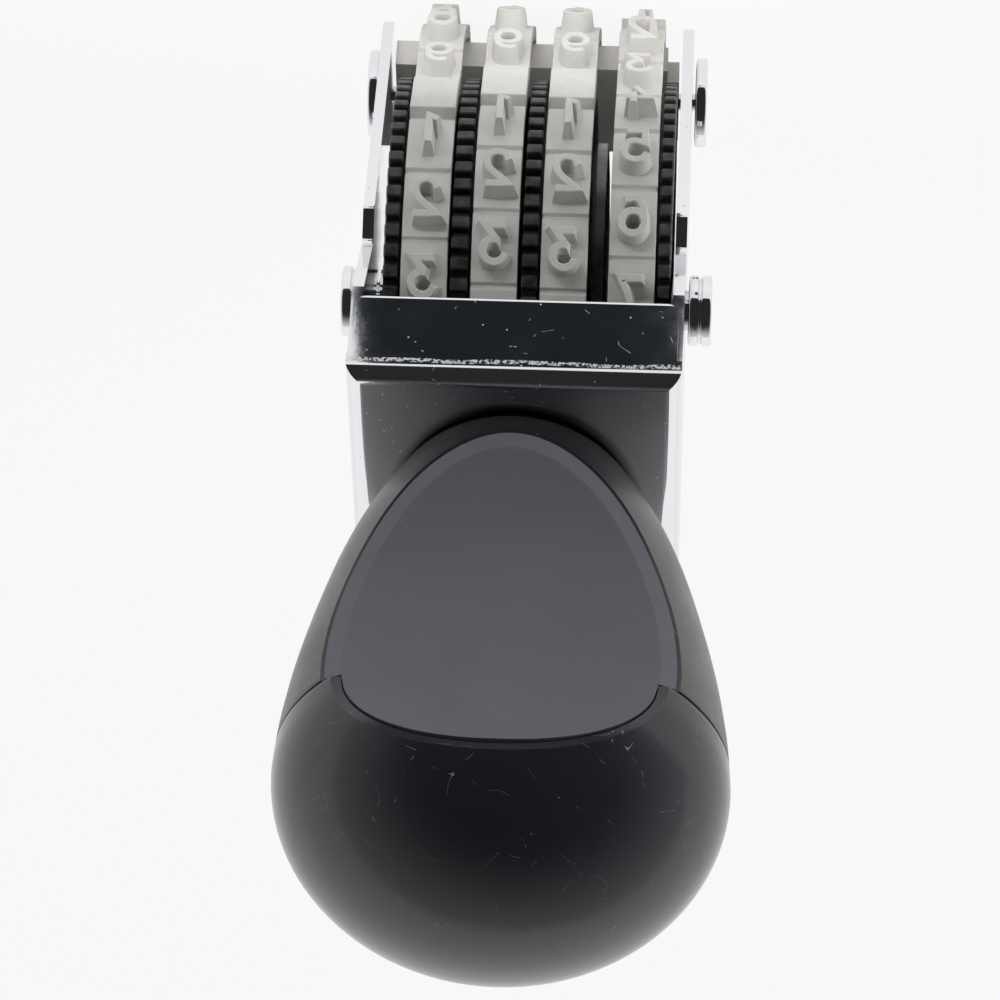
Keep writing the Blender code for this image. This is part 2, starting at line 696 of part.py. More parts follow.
def build_band(number, joint_deg, first, track):
    name = "number_band_" + str(number)
    pitch = track.length / TILE_COUNT
    start = BAND_RADIUS * math.radians(90.0 - joint_deg)
    signs = band_signs(first)
    band = band_base(name, track, start, pitch, signs)
    centre_x = sum(stack_span("band_" + str(number))) / 2
    width = BAND_WIDTH - STROKE_BASE - 2 * DIGIT_SIDE_ROOM
    height = pitch - STROKE_BASE - 2 * DIGIT_END_ROOM
    for order in range(2):
        mesh = bmesh.new()
        for k, sign in enumerate(signs):
            strokes = DIGIT_SHARES.get(sign, ())
            if order >= len(strokes):
                continue
            closed, shares = strokes[order]
            middle = start + pitch * (k + 0.5)
            points = [Vector((x * width, y * height)) for x, y in shares]
            points = refine(points, closed, track, middle)
            add_stroke(mesh, points, closed, track, middle, centre_x, SECOND_STROKE_DROP * order)
        join(band, object_from(mesh, "strokes"))
    return finish(band, "band_rubber", 30.0)


def bar_outline(half_depth, low, high):
    corners = mirrored(((half_depth, high, ANVIL_EDGE), (half_depth, low, ANVIL_EDGE)))
    return rounded(corners, ANVIL_CORNER_STEPS)


def build_anvil():
    inner = INNER_HALF_WIDTH - GAP
    neck_end = NECK_LENGTH - inner
    bar = prism("anvil_bar", bar_outline(ANVIL_HALF_DEPTH, ANVIL_BOTTOM, ANVIL_TOP), neck_end, inner)
    neck = bar_outline(ANVIL_HALF_DEPTH - NECK_INSET, ANVIL_BOTTOM + NECK_LIFT, ANVIL_TOP - NECK_DROP)
    join(bar, prism("neck", neck, -inner, neck_end + ANVIL_EDGE))
    reach = inner + CUT_MARGIN
    cut(bar, rod("bore", -reach, reach, PIN_RADIUS + GAP, PIN_STEPS, (0.0, ANVIL_PIN_Z)))
    return finish(bar, "anvil_white", 40.0)


def build_divider():
    radius = BAND_RADIUS - DIVIDER_INSET
    end = math.radians(DIVIDER_END_DEG)
    outline = []
    for k in (0, *range(2, DIVIDER_STEPS - 1), DIVIDER_STEPS):
        turn = end + (HALF_TURN - 2 * end) * k / DIVIDER_STEPS
        corner = DIVIDER_CORNER if k in (0, DIVIDER_STEPS) else 0.0
        outline.append((-radius * math.cos(turn), radius * math.sin(turn), corner))
    outline.append((DIVIDER_FOOT_HALF, -DIVIDER_FOOT_DROP, DIVIDER_CORNER))
    outline.append((-DIVIDER_FOOT_HALF, -DIVIDER_FOOT_DROP, DIVIDER_CORNER))
    low, high = stack_span("divider")
    plate = prism("divider_plate", rounded(outline), low, high)
    cut(plate, rod("bore", low - CUT_MARGIN, high + CUT_MARGIN, AXLE_RADIUS + GAP))
    return finish(plate, "divider_grey", 40.0)


def read_table(table, place):
    """Smooth reading of a (place, value) table."""
    place = min(max(place, table[0][0]), table[-1][0])
    i = 0
    while i < len(table) - 2 and place > table[i + 1][0]:
        i += 1
    (start, first), (end, last) = table[i], table[i + 1]
    span = end - start
    rise = slope_at(table, i) * span
    fall = slope_at(table, i + 1) * span
    t = (place - start) / span
    return ((2 * t**3 - 3 * t**2 + 1) * first + (t**3 - 2 * t**2 + t) * rise
            + (3 * t**2 - 2 * t**3) * last + (t**3 - t**2) * fall)


def slope_at(table, i):
    low, high = max(i - 1, 0), min(i + 1, len(table) - 1)
    return (table[high][1] - table[low][1]) / (table[high][0] - table[low][0])


def section(height):
    """Half-width and half-depth of the handle at a height over the axle."""
    if height <= BULB_CENTRE:
        share = (height - HANDLE_BASE) / (BULB_CENTRE - HANDLE_BASE)
        tables = (HANDLE_WIDTH_SHARES, HANDLE_DEPTH_SHARES)
        return tuple(read_table(table, share) * BULB_RADIUS for table in tables)
    share = min((height - BULB_CENTRE) / BULB_RISE, 1.0)
    round_half = BULB_RADIUS * math.sqrt(1 - share * share)
    return round_half, round_half


def loft(name, sizes):
    """Skin through oval rings of (half_width, half_depth, z), closed at both ends."""
    mesh = bmesh.new()
    rings = []
    for half_width, half_depth, z in sizes:
        turns = [FULL_TURN * k / ROUND_STEPS for k in range(ROUND_STEPS)]
        rings.append([(half_width * math.cos(turn), half_depth * math.sin(turn), z) for turn in turns])
    skin(mesh, rings, False)
    return object_from(mesh, name)


def edge_rings(height, edge, towards):
    """Two rings that take the sharp edge off an end of a loft."""
    half_width, half_depth = section(height)
    inner = (half_width - edge, half_depth - edge, height)
    half_width, half_depth = section(height + towards * edge)
    outer = (half_width, half_depth, height + towards * edge)
    return inner, outer


def build_handle_body():
    top = HANDLE_SEAM - SEAM_GAP / 2
    rings = list(edge_rings(HANDLE_BASE, HANDLE_BASE_EDGE, 1))
    low = HANDLE_BASE + HANDLE_BASE_EDGE
    high = top - SEAM_EDGE
    for k in range(1, BODY_RINGS):
        z = low + (high - low) * k / BODY_RINGS
        rings.append((*section(z), z))
    rings += reversed(edge_rings(top, SEAM_EDGE, -1))
    body = loft("handle_body", rings)
    join(body, rod("spigot", top - CUT_MARGIN, top + SPIGOT_RISE, SPIGOT_RADIUS, ROUND_HEAD_STEPS, axis="Z"))
    bore = rod("bore", HANDLE_BASE - CUT_MARGIN, SCREW_TOP + GAP, SCREW_RADIUS + GAP, axis="Z")
    cut(body, bore)
    cut(body, scoop(SCOOP_RADIUS + LABEL_THICKNESS + GAP))
    return finish(body, "black_plastic", 35.0)


def build_handle_cap():
    low = HANDLE_SEAM + SEAM_GAP / 2
    rings = list(edge_rings(low, SEAM_EDGE, 1))
    rings.append((*section(BULB_CENTRE), BULB_CENTRE))
    for k in range(1, CAP_RINGS):
        turn = HALF_TURN / 2 * k / CAP_RINGS
        half = BULB_RADIUS * math.cos(turn)
        rings.append((half, half, BULB_CENTRE + BULB_RISE * math.sin(turn)))
    crown = BULB_RADIUS * math.cos(HALF_TURN / 2 * CROWN_SHARE)
    rings.append((crown, crown, BULB_CENTRE + BULB_RISE))
    cap = loft("handle_cap", rings)
    depth = SPIGOT_RISE + SEAM_GAP / 2 + GAP
    radius = SPIGOT_RADIUS + GAP
    cut(cap, rod("recess", low - CUT_MARGIN, HANDLE_SEAM + depth, radius, ROUND_HEAD_STEPS, axis="Z"))
    cut(cap, scoop(SCOOP_RADIUS))
    cut(cap, label_pocket())
    return finish(cap, "black_gloss", 35.0)


def scoop(radius):
    """Cylinder along X that hollows the handle's front."""
    reach = BULB_RADIUS + CUT_MARGIN
    return rod("scoop", -reach, reach, radius, SCOOP_STEPS, (-SCOOP_FRONT, SCOOP_Z))


def scoop_front(z, radius):
    """Distance to the front of the scooped face at a height."""
    return SCOOP_FRONT - math.sqrt(radius * radius - (z - SCOOP_Z) ** 2)


def scoop_half_width(z, radius):
    half_width, half_depth = section(z)
    share = scoop_front(z, radius) / half_depth if half_depth else 1.0
    return half_width * math.sqrt(max(1 - share * share, 0.0))


def scoop_end(start, step, radius):
    """Height at which the scooped face runs out of the handle."""
    z = start
    while step > MERGE or step < -MERGE:
        if scoop_half_width(z + step, radius) > 0:
            z += step
        else:
            step /= 2
    return z


def label_outline():
    """Half outline of the scooped face at the label's border, from its tip to its round end."""
    radius = SCOOP_RADIUS + LABEL_BORDER_DROP
    tip = max(scoop_end(HANDLE_SEAM, -SHEET, radius), HANDLE_BASE + LABEL_LIFT)
    end = scoop_end(HANDLE_SEAM, SHEET, radius)
    below, above = [], []
    for k in range(LABEL_STEPS + 1):
        turn = HALF_TURN / 2 * k / LABEL_STEPS
        z = tip + (HANDLE_SEAM - tip) * (1 - math.cos(turn))
        below.append(Vector((scoop_half_width(z, radius), z)))
        z = HANDLE_SEAM + (end - HANDLE_SEAM) * math.sin(turn)
        above.append(Vector((scoop_half_width(z, radius), z)))
    below[0].x = 0.0
    above[-1].x = 0.0
    return below, above


def moved_in(points, insets):
    """Shift each outline point inwards along its own normal."""
    moved = []
    for i, here in enumerate(points):
        before = points[i - 1] if i else Vector((-points[1].x, points[1].y))
        last = i == len(points) - 1
        after = Vector((-points[i - 1].x, points[i - 1].y)) if last else points[i + 1]
        along = (after - before).normalized()
        moved.append(here + Vector((-along.y, along.x)) * insets[i])
    return moved


def label_edges():
    """Top edge and border edge of the label as half outlines."""
    below, above = label_outline()
    count = len(above) - 1
    insets = [LABEL_BORDER] * len(below)
    insets += [LABEL_BORDER + (LABEL_END_INSET - LABEL_BORDER) * k / count for k in range(1, count + 1)]
    outline = below + above[1:]
    top = moved_in(outline, insets)
    wide = moved_in(outline, [LABEL_INSET] * len(outline))
    narrow = moved_in(outline, [inset - LABEL_EDGE_WIDTH for inset in insets])
    seam = len(below) - 1
    top = top[:seam + 1] + top[seam:]
    border = wide[:seam + 1] + narrow[seam:]
    top[0].x = border[0].x = top[-1].x = border[-1].x = 0.0
    return top, border


def scoop_slab(name, levels):
    """Loft a slab on the scooped face: each level is (half outline, scoop radius)."""
    mesh = bmesh.new()
    rings = []
    for i in range(len(levels[0][0])):
        sides = [(1, *level) for level in levels] + [(-1, *level) for level in reversed(levels)]
        rings.append([(side * outline[i].x, -scoop_front(outline[i].y, radius), outline[i].y)
                      for side, outline, radius in sides])
    skin(mesh, rings, False)
    return object_from(mesh, name)


def build_label():
    top, border = label_edges()
    middle = SCOOP_RADIUS + LABEL_BORDER_DROP
    back = SCOOP_RADIUS + LABEL_THICKNESS
    label = scoop_slab("label_plate", ((top, SCOOP_RADIUS), (border, middle), (border, back)))
    return finish(label, "label_grey", 25.0)


def label_pocket():
    """Room for the label's round end in the cap, with a groove that widens downwards."""
    top, _ = label_edges()
    seam = LABEL_STEPS + 1
    end = top[seam:]
    count = len(end) - 1
    room = [-(POCKET_SIDE + (POCKET_END - POCKET_SIDE) * k / count) for k in range(count + 1)]
    wide = moved_in(end, room)
    wide[0] = Vector((end[0].x + POCKET_SIDE, end[0].y))
    wide[-1].x = 0.0
    wide = [Vector((wide[0].x, HANDLE_SEAM - LABEL_LIFT))] + wide
    start = Vector((0.0, HANDLE_SEAM - LABEL_LIFT))
    wide = [start] + wide
    front = SCOOP_RADIUS - LABEL_LIFT
    back = SCOOP_RADIUS + LABEL_THICKNESS + GAP
    return scoop_slab("pocket", ((wide, front), (wide, back)))


def build_screw():
    low = SCREW_HEAD_BOTTOM
    socket_end = low + SCREW_SOCKET_DEPTH
    profile = (
        (socket_end, 0.0), (socket_end, SCREW_SOCKET_RADIUS),
        (low, SCREW_SOCKET_RADIUS), (low, SCREW_HEAD_RADIUS),
        (FRAME_TOP - GAP, SCREW_RADIUS), (SCREW_TOP, SCREW_RADIUS), (SCREW_TOP, 0.0),
    )
    return finish(lathe("handle_screw", profile, axis="Z"), "steel", 40.0)


def main():
    clear_scene()
    build_frame()
    build_axle()
    build_anvil_pin()
    build_heads()
    build_spacers()
    for index, phase_deg in enumerate(TOOTH_ANGLES_DEG):
        build_wheel(index + 1, phase_deg)
    track = Track()
    for index, (joint_deg, first) in enumerate(BAND_JOINTS):
        build_band(index + 1, joint_deg, first, track)
    build_anvil()
    build_divider()
    build_handle_body()
    build_handle_cap()
    build_label()
    build_screw()


main()
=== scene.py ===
"""Looks of the roller stamp, laid out as a Blender add-on.

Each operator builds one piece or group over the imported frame, and the last one builds the stage.
Lengths are metres. Shapes are drawn about the wheel axle, with X along it and -Y to the front.
"""

import math

import bmesh
import bpy
from bpy.props import FloatProperty, FloatVectorProperty, IntProperty, PointerProperty
from mathutils import Matrix, Vector


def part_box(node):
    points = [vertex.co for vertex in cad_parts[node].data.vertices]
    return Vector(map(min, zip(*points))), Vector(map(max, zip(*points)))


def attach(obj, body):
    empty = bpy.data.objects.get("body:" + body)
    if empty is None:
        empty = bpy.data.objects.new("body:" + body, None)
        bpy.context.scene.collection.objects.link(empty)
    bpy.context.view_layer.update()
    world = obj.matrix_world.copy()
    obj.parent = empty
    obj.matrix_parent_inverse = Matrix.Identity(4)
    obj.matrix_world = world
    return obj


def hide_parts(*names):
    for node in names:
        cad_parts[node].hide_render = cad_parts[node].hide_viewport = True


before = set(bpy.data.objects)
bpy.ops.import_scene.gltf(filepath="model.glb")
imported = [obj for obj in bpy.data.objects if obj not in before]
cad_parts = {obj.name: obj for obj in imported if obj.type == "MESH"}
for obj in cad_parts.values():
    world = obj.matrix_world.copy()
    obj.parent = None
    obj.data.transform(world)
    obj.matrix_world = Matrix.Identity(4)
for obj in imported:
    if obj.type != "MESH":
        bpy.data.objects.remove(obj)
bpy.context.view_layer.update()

bl_info = {
    "name": "Roller stamp",
    "version": (1, 0, 0),
    "blender": (4, 5, 0),
    "location": "3D View > Sidebar > Stamp",
    "description": "Builds the looks of a number band stamp over its packed frame",
    "category": "Object",
}

MERGE = 0.000001
QUARTER = math.pi / 2
FLAT = math.radians(0.5)

# Steps round the turned pieces, the bores, the small arcs, and up the handle's parts
DRUM_STEPS = 120
HEAD_STEPS = 96
ROD_STEPS = 64
BORE_STEPS = 48
PIN_STEPS = 32
ARC_STEPS = 8
EDGE_STEPS = 4
LABEL_STEPS = 48
GROOVE_STEPS = 29
LIP_STEPS = 12
FOOT_STEPS = 8

# Steps round the divider, and those that its rounded corners take up
DIVIDER_STEPS = 90
DIVIDER_SKIPPED = 8

# Steps of a band's path on its wheel, in each part of the bulge, round the anvil, on a tile and in a stroke
PATH_STEPS = 100
BULGE_STEPS = 16
TURN_STEPS = 12
TILE_STEPS = 8
STROKE_STEPS = 4

# Least angle in degrees of the edges between the teeth's faces and the rim's sides
SIDE_ANGLE = 80.0

# Steepest smooth edges in degrees
METAL_CREASE = 40.0
CURVE_CREASE = 35.0
BAND_CREASE = 32.0
WHEEL_CREASE = 25.0
LABEL_CREASE = 12.0

# One tooth as (share of the pitch, share of the depth)
TOOTH_SHARES = ((-0.40, 0.0), (-0.30, 0.82), (-0.24, 0.97), (-0.10, 1.0),
                (0.10, 1.0), (0.24, 0.97), (0.30, 0.82), (0.40, 0.0))

# Outer and inner radius of a head's dish, as shares of the head's radius
DISH_SHARES = (0.62, 0.5)

# Rim and drum spans of the wheels along X, and the angle of a tooth above the front
WHEELS = (
    {"rim": (0.01065, 0.01195), "phase_deg": 35.6},
    {"rim": (0.00455, 0.0061), "phase_deg": 33.2},
    {"rim": (-0.0015, -0.0001), "phase_deg": 32.1},
    {"rim": (-0.01305, -0.01195), "phase_deg": 33.8},
)
DRUMS = ((0.00635, 0.011), (0.00025, 0.0049), (-0.0058, -0.00115), (-0.0123, -0.00765))

# Spans of the bands along X, the angle of one tile joint, and the digit just below it
BANDS = (
    {"span": (0.00635, 0.0104), "joint_deg": 22.5, "first": "2"},
    {"span": (0.00025, 0.0043), "joint_deg": 14.5, "first": "2"},
    {"span": (-0.0058, -0.00175), "joint_deg": 15.4, "first": "2"},
    {"span": (-0.0117, -0.00765), "joint_deg": 7.0, "first": "5"},
)
BAND_BULGE = ((0.0163, -0.0102), (0.01435, -0.0152), (0.0124, -0.0205))
BAND_ORDER = ("blank", "9", "8", "7", "6", "5", "4", "3", "2", "1", "0",
              "blank", "9", "8", "7", "6", "5", "4", "3", "2", "1")
# Strokes of the digits as shares of width and height: (closed, points), a third value of 1 marks a corner
DIGIT_SHARES = {
    "0": ((True, ((-0.5, 0.0), (-0.36, 0.38), (0.0, 0.5), (0.36, 0.38),
                  (0.5, 0.0), (0.36, -0.38), (0.0, -0.5), (-0.36, -0.38))),),
    "1": ((False, ((-0.34, 0.36, 1), (0.06, 0.5, 1), (0.06, -0.5, 1))),),
    "2": ((False, ((-0.5, 0.2, 1), (-0.34, 0.42), (0.0, 0.5), (0.36, 0.42), (0.48, 0.2),
                   (0.28, -0.08), (-0.46, -0.5, 1), (0.5, -0.5, 1))),),
    "3": ((False, ((-0.45, 0.5, 1), (0.42, 0.5, 1), (-0.06, 0.12, 1))),
          (False, ((-0.16, 0.1, 1), (0.12, 0.11), (0.38, 0.02), (0.5, -0.18),
                   (0.36, -0.4), (0.0, -0.5), (-0.34, -0.42), (-0.5, -0.24, 1)))),
    "4": ((False, ((0.16, 0.5, 1), (-0.46, -0.2, 1), (0.5, -0.2, 1))),
          (False, ((0.2, 0.12, 1), (0.2, -0.5, 1)))),
    "5": ((False, ((0.42, 0.5, 1), (-0.38, 0.5, 1), (-0.44, 0.04, 1), (0.0, 0.14), (0.38, 0.06),
                   (0.5, -0.18), (0.36, -0.42), (0.0, -0.5), (-0.34, -0.44), (-0.5, -0.26, 1))),),
    "6": ((True, ((-0.5, -0.18), (-0.34, 0.06), (0.0, 0.13), (0.34, 0.06),
                  (0.5, -0.18), (0.34, -0.42), (0.0, -0.5), (-0.34, -0.42))),
          (False, ((-0.5, -0.18, 1), (-0.46, 0.14), (-0.3, 0.4), (0.0, 0.5), (0.4, 0.44, 1)))),
    "7": ((False, ((-0.5, 0.5, 1), (0.45, 0.5, 1), (0.12, 0.06), (-0.1, -0.5, 1))),),
    "8": ((True, ((-0.5, -0.22), (-0.34, 0.0), (0.0, 0.07), (0.34, 0.0),
                  (0.5, -0.22), (0.34, -0.43), (0.0, -0.5), (-0.34, -0.43))),
          (True, ((-0.42, 0.28), (-0.28, 0.11), (0.0, 0.06), (0.28, 0.11),
                  (0.42, 0.28), (0.28, 0.44), (0.0, 0.5), (-0.28, 0.44)))),
}
DIGIT_SHARES["9"] = tuple(
    (closed, tuple((-p[0], -p[1], *p[2:]) for p in points)) for closed, points in DIGIT_SHARES["6"])

# Sizes of the marks in the materials: smears, hairs and their patches, dust, grain and bump
PLATING = {"smear": 0.006, "brush": 0.0002, "hair": 0.003, "patch": 0.0009, "dust": 0.0007, "bump": 0.000012}
PLASTIC = {"smear": 0.008, "hair": 0.005, "patch": 0.0011, "dust": 0.0011, "bump": 0.000006}
RUBBER = {"mottle": 0.003, "grain": 0.00016, "stain": 0.0013, "bump": 0.00002}
WHEEL = {"worn": 0.0012, "mottle": 0.0008, "grain": 0.00018, "bump": 0.000015}
ANVIL = {"mottle": 0.002, "grain": 0.0003, "bump": 0.00001}
# The divider's drift moves the edge of its painted shade.
DIVIDER = {"smear": 0.0025, "drift": 0.0012, "grain": 0.0002, "bump": 0.00001}

# Roughness, grain, share of hairs and share of dust on the handle's plastics
PLASTICS = {"handle_body": (0.34, 0.0003, 0.40, 0.05), "handle_cap": (0.16, 0.0004, 0.47, 0.10),
            "label_plate": (0.5, 0.00015, 0.36, 0.03)}
BODY_SHINE = 0.85

# Place, aim and size of each lamp
LAMPS = (
    ("low", (0.08, -0.28, 0.014), (0.0, 0.0, 0.012), (0.16, 0.02)),
    ("floor", (0.0, -0.036, 0.022), (0.0, -0.036, 0.0), (0.08, 0.02)),
    ("left", (0.45, -0.1, 0.14), (0.0, 0.0, 0.05), (0.4, 0.3)),
    ("right", (-0.45, -0.1, 0.14), (0.0, 0.0, 0.05), (0.4, 0.3)),
)

# Half-widths and half-depths of the handle's oval sections by height over the axle
HANDLE_WIDTHS = ((0.0241, 0.01105), (0.027, 0.01309), (0.031, 0.015), (0.036, 0.01666),
                 (0.042, 0.01821), (0.047, 0.01909), (0.05, 0.01941), (0.052, 0.01953))
HANDLE_DEPTHS = ((0.0241, 0.01585), (0.031, 0.01755), (0.04, 0.01856), (0.05, 0.01941), (0.052, 0.01953))


def length(description, default):
    return FloatProperty(description=description, default=default, unit="LENGTH", precision=5)


def number(description, default):
    return FloatProperty(description=description, default=default)


def count(description, default):
    return IntProperty(description=description, default=default, min=1)


def colour(description, default):
    return FloatVectorProperty(
        description=description, default=default, subtype="COLOR", size=3, min=0.0, max=1.0)


class StampFrameSizes(bpy.types.PropertyGroup):
    """Sizes of the bent sheet frame and the pieces that it holds"""

    axle_height: length("Wheel axle over the print plane", 0.0294)
    sheet: length("Thickness of the bent sheet", 0.001)
    half_width: length("Half of the frame's outer width", 0.01435)
    top: length("Top of the frame over the axle", 0.0238)
    front: length("Front of the flange from the axle", 0.0203)
    flange_bottom: length("Lower edge of the flange over the axle", 0.0152)
    flange_corner: length("Radius of the flange's lower corners", 0.001)
    flange_inset: length("Side of the flange inside a side plate's outer face", 0.00045)
    relief: length("Slit between the flange and the side plates behind it", 0.0003)
    relief_top: length("Upper end of the slit over the axle", 0.0214)
    bend: length("Outer radius of the bends", 0.0015)
    shoulder: length("Radius under the flange on a side plate", 0.0009)
    waist_radius: length("Radius of the waist and the hip", 0.0008)
    foot_radius: length("Radius of the side plate's lower corners", 0.0014)
    waist_front: length("Waist of the side plate from the axle", 0.0123)
    waist_z: length("Waist over the axle", 0.003)
    hip_front: length("Hip of the side plate from the axle", 0.0139)
    hip_z: length("Hip over the axle", 0.0002)
    foot_front: length("Foot of the side plate from the middle", 0.007)
    foot_drop: length("Foot of the side plate under the axle", 0.0279)
    edge: length("Rounding of the sheet's edges", 0.00014)
    margin: length("Overrun of cutters", 0.004)
    pin_drop: length("Anvil pin under the axle", 0.0245)
    axle_radius: length("Radius of the wheel axle", 0.0018)
    axle_bore: length("Radius of the bores on the axle", 0.0021)
    cap_radius: length("Radius of the axle heads", 0.0032)
    cap_reach: length("Reach of the axle heads past the plates", 0.00236)
    cap_groove: length("Depth of the groove round an axle head", 0.00022)
    cap_dish: length("Depth of the dished end of an axle head", 0.00018)
    pin_radius: length("Radius of the anvil pin", 0.0008)
    head_radius: length("Radius of the anvil pin heads", 0.00415)
    head_reach: length("Reach of the pin heads past the plates", 0.00133)
    head_gap: length("Room between a head and its plate", 0.00025)
    head_edge: length("Rounding of the heads", 0.00028)
    spacer_radius: length("Radius of the hub spacers", 0.003)


class StampBandSizes(bpy.types.PropertyGroup):
    """Sizes of the wheels, the bands and what lies between them"""

    rim_radius: length("Radius over the wheel's teeth", 0.02036)
    tooth_depth: length("Depth of the gaps between teeth", 0.0008)
    tooth_edge: length("Chamfer along the rim's sides", 0.00012)
    teeth: count("Teeth round a rim", 68)
    path_radius: length("Radius of a band's inner face on its wheel", 0.0192)
    drum_gap: length("Room between a drum and its band", 0.0003)
    thickness: length("Thickness of a band without its digits", 0.0012)
    leaves_deg: number("Angle at which a band leaves its wheel, in degrees", -15.0)
    corner_front: length("Corner of a band at the anvil from the middle", 0.0063)
    bottom: length("Inner face of a band under the axle", 0.0264)
    corner_radius: length("Radius of a band's inner face at the anvil", 0.0016)
    step: length("Step for reading the path's direction", 0.0003)
    tiles: count("Tiles on each band", 21)
    notch_width: length("Width of the joint between tiles", 0.0005)
    notch_depth: length("Depth of the joint between tiles", 0.00032)
    blank_relief: length("Extra height of a blank tile", 0.0009)
    side_edge: length("Rounding along a band's sides", 0.00014)
    relief: length("Height of the digits over their tile", 0.0018)
    sink: length("Depth of a digit's root in its tile", 0.0003)
    digit_width: length("Width of a digit between stroke middles", 0.00199)
    digit_height: length("Height of a digit between stroke middles", 0.0029)
    stroke_top: length("Width of a stroke at its top", 0.0006)
    stroke_base: length("Width of a stroke at its root", 0.0011)
    second_drop: length("Drop of a digit's second stroke", 0.00002)
    stroke_edge: length("Rounding of a stroke's top", 0.00007)
    divider_low: length("One face of the divider along X", -0.007225)
    divider_high: length("Other face of the divider along X", -0.006225)
    divider_radius: length("Radius of the divider plate", 0.0187)
    divider_end_deg: number("Angle at which the divider's edge ends", -15.0)
    divider_drop: length("Foot of the divider under the axle", 0.008)
    divider_half: length("Half length of the divider's foot", 0.009)
    divider_corner: length("Radius of the divider's corners", 0.0025)
    anvil_half: length("Half depth of the anvil bar", 0.0059)
    anvil_low: length("Underside of the anvil bar under the axle", 0.0261)
    anvil_high: length("Upper side of the anvil bar under the axle", 0.0232)
    neck_half: length("Half depth of the anvil's neck", 0.0042)
    neck_start: length("Start of the anvil's neck along X", -0.012)
    neck_low: length("Underside of the neck under the axle", 0.0258)
    neck_high: length("Upper side of the neck under the axle", 0.0233)
    anvil_edge: length("Rounding of the anvil bar", 0.00025)
    anvil_gap: length("Room between the anvil bar and a side plate", 0.0003)


class StampHandleSizes(bpy.types.PropertyGroup):
    """Sizes of the handle, its scooped front and the label"""

    base: length("Foot of the handle over the axle", 0.0241)
    base_edge: length("Rounding of the handle's foot", 0.0005)
    seam: length("Seam between body and cap over the axle", 0.05)
    seam_gap: length("Width of the seam", 0.00022)
    seam_edge: length("Rounding beside the seam", 0.00012)
    bulb_centre: length("Widest height of the bulb over the axle", 0.052)
    bulb_radius: length("Widest radius of the bulb", 0.01953)
    bulb_rise: length("Height of the bulb over its widest ring", 0.0158)
    scoop_radius: length("Radius of the scooped front", 0.031)
    scoop_front: length("Centre of the scoop before the axle", 0.0435)
    scoop_z: length("Centre of the scoop over the axle", 0.04305)
    label_thickness: length("Thickness of the label plate", 0.0009)
    border_drop: length("Fall of the label's border", 0.0006)
    border: length("Width of the label's border", 0.0015)
    end_inset: length("Distance of the label's round end from the cap's edge", 0.0023)
    label_edge: length("Slope of the label's end in the cap", 0.0001)
    label_inset: length("Label's border from the handle's skin", 0.00006)
    label_gap: length("Room behind the label", 0.0003)
    label_lift: length("Least height of the label over the handle's foot", 0.0025)
    groove_side: length("Groove beside the label's end at the seam", 0.0001)
    groove_end: length("Groove below the label's end", 0.00075)
    facet_edge: length("Rounding of the scooped face's edge", 0.00016)
    round_steps: count("Steps round the back of the handle", 120)
    body_rings: count("Rings up the body", 60)
    cap_rings: count("Rings up the cap", 64)
    screw_radius: length("Radius of the handle screw", 0.0016)
    screw_head: length("Radius of its countersunk head", 0.0031)
    screw_low: length("Underside of its head over the axle", 0.02285)
    screw_seat: length("Top of the countersink over the axle", 0.0235)
    screw_top: length("End of the screw over the axle", 0.036)
    socket_radius: length("Radius of the screw's socket", 0.0011)
    socket_depth: length("Depth of the screw's socket", 0.0006)


class StampStageSizes(bpy.types.PropertyGroup):
    """Sizes of the stage, the lamps and the camera"""

    floor_half: length("Half width of the floor", 1.5)
    floor_white: number("Share of plain white in the floor that the camera sees", 0.9)
    world_level: number("Strength of the world on dull surfaces", 0.45)
    target_z: length("Middle of the dark room over the floor", 0.05)
    dome_radius: length("Radius of the dark room", 0.7)
    dome_foot: length("Lowest edge of the dark room over the floor", 0.001)
    dome_tilt_deg: number("Elevation of the dark room's middle in degrees", 42.0)
    dome_spread_deg: number("Half angle of the dark room in degrees", 92.0)
    dome_dark_deg: number("Half angle of its darkest part in degrees", 40.0)
    dome_turn_deg: number("Turn of the dark room towards -X in degrees", 12.0)
    dome_rim: number("Light at the rim of the dark room", 0.65)
    dome_level: number("Light in the darkest part of the dark room", 0.024)
    card_low: length("Right end of the dark card along X", -0.0148)
    card_high: length("Left end of the dark card along X", 0.0187)
    card_near: length("Near edge of the dark card along Y", -0.066)
    card_far: length("Far edge of the dark card along Y", -0.115)
    card_height: length("Dark card over the floor", 0.0005)
    low_watts: number("Power of the low lamp in watts", 0.19)
    floor_watts: number("Power of the lamp over the floor in watts", 0.0145)
    left_watts: number("Power of the left lamp in watts", 0.6)
    right_watts: number("Power of the right lamp in watts", 1.4)
    camera_x: length("Camera place along X", -0.017095)
    camera_y: length("Camera place along Y", -0.39955)
    camera_z: length("Camera place along Z", 0.341848)
    tilt_deg: number("Camera turn about X in degrees", -53.94879)
    lean_deg: number("Camera turn about Y in degrees", 2.61951)
    spin_deg: number("Camera turn about Z in degrees", 179.24932)
    lens_mm: number("Focal length in millimetres", 201.996)
    sensor_mm: number("Sensor width in millimetres", 36.0)


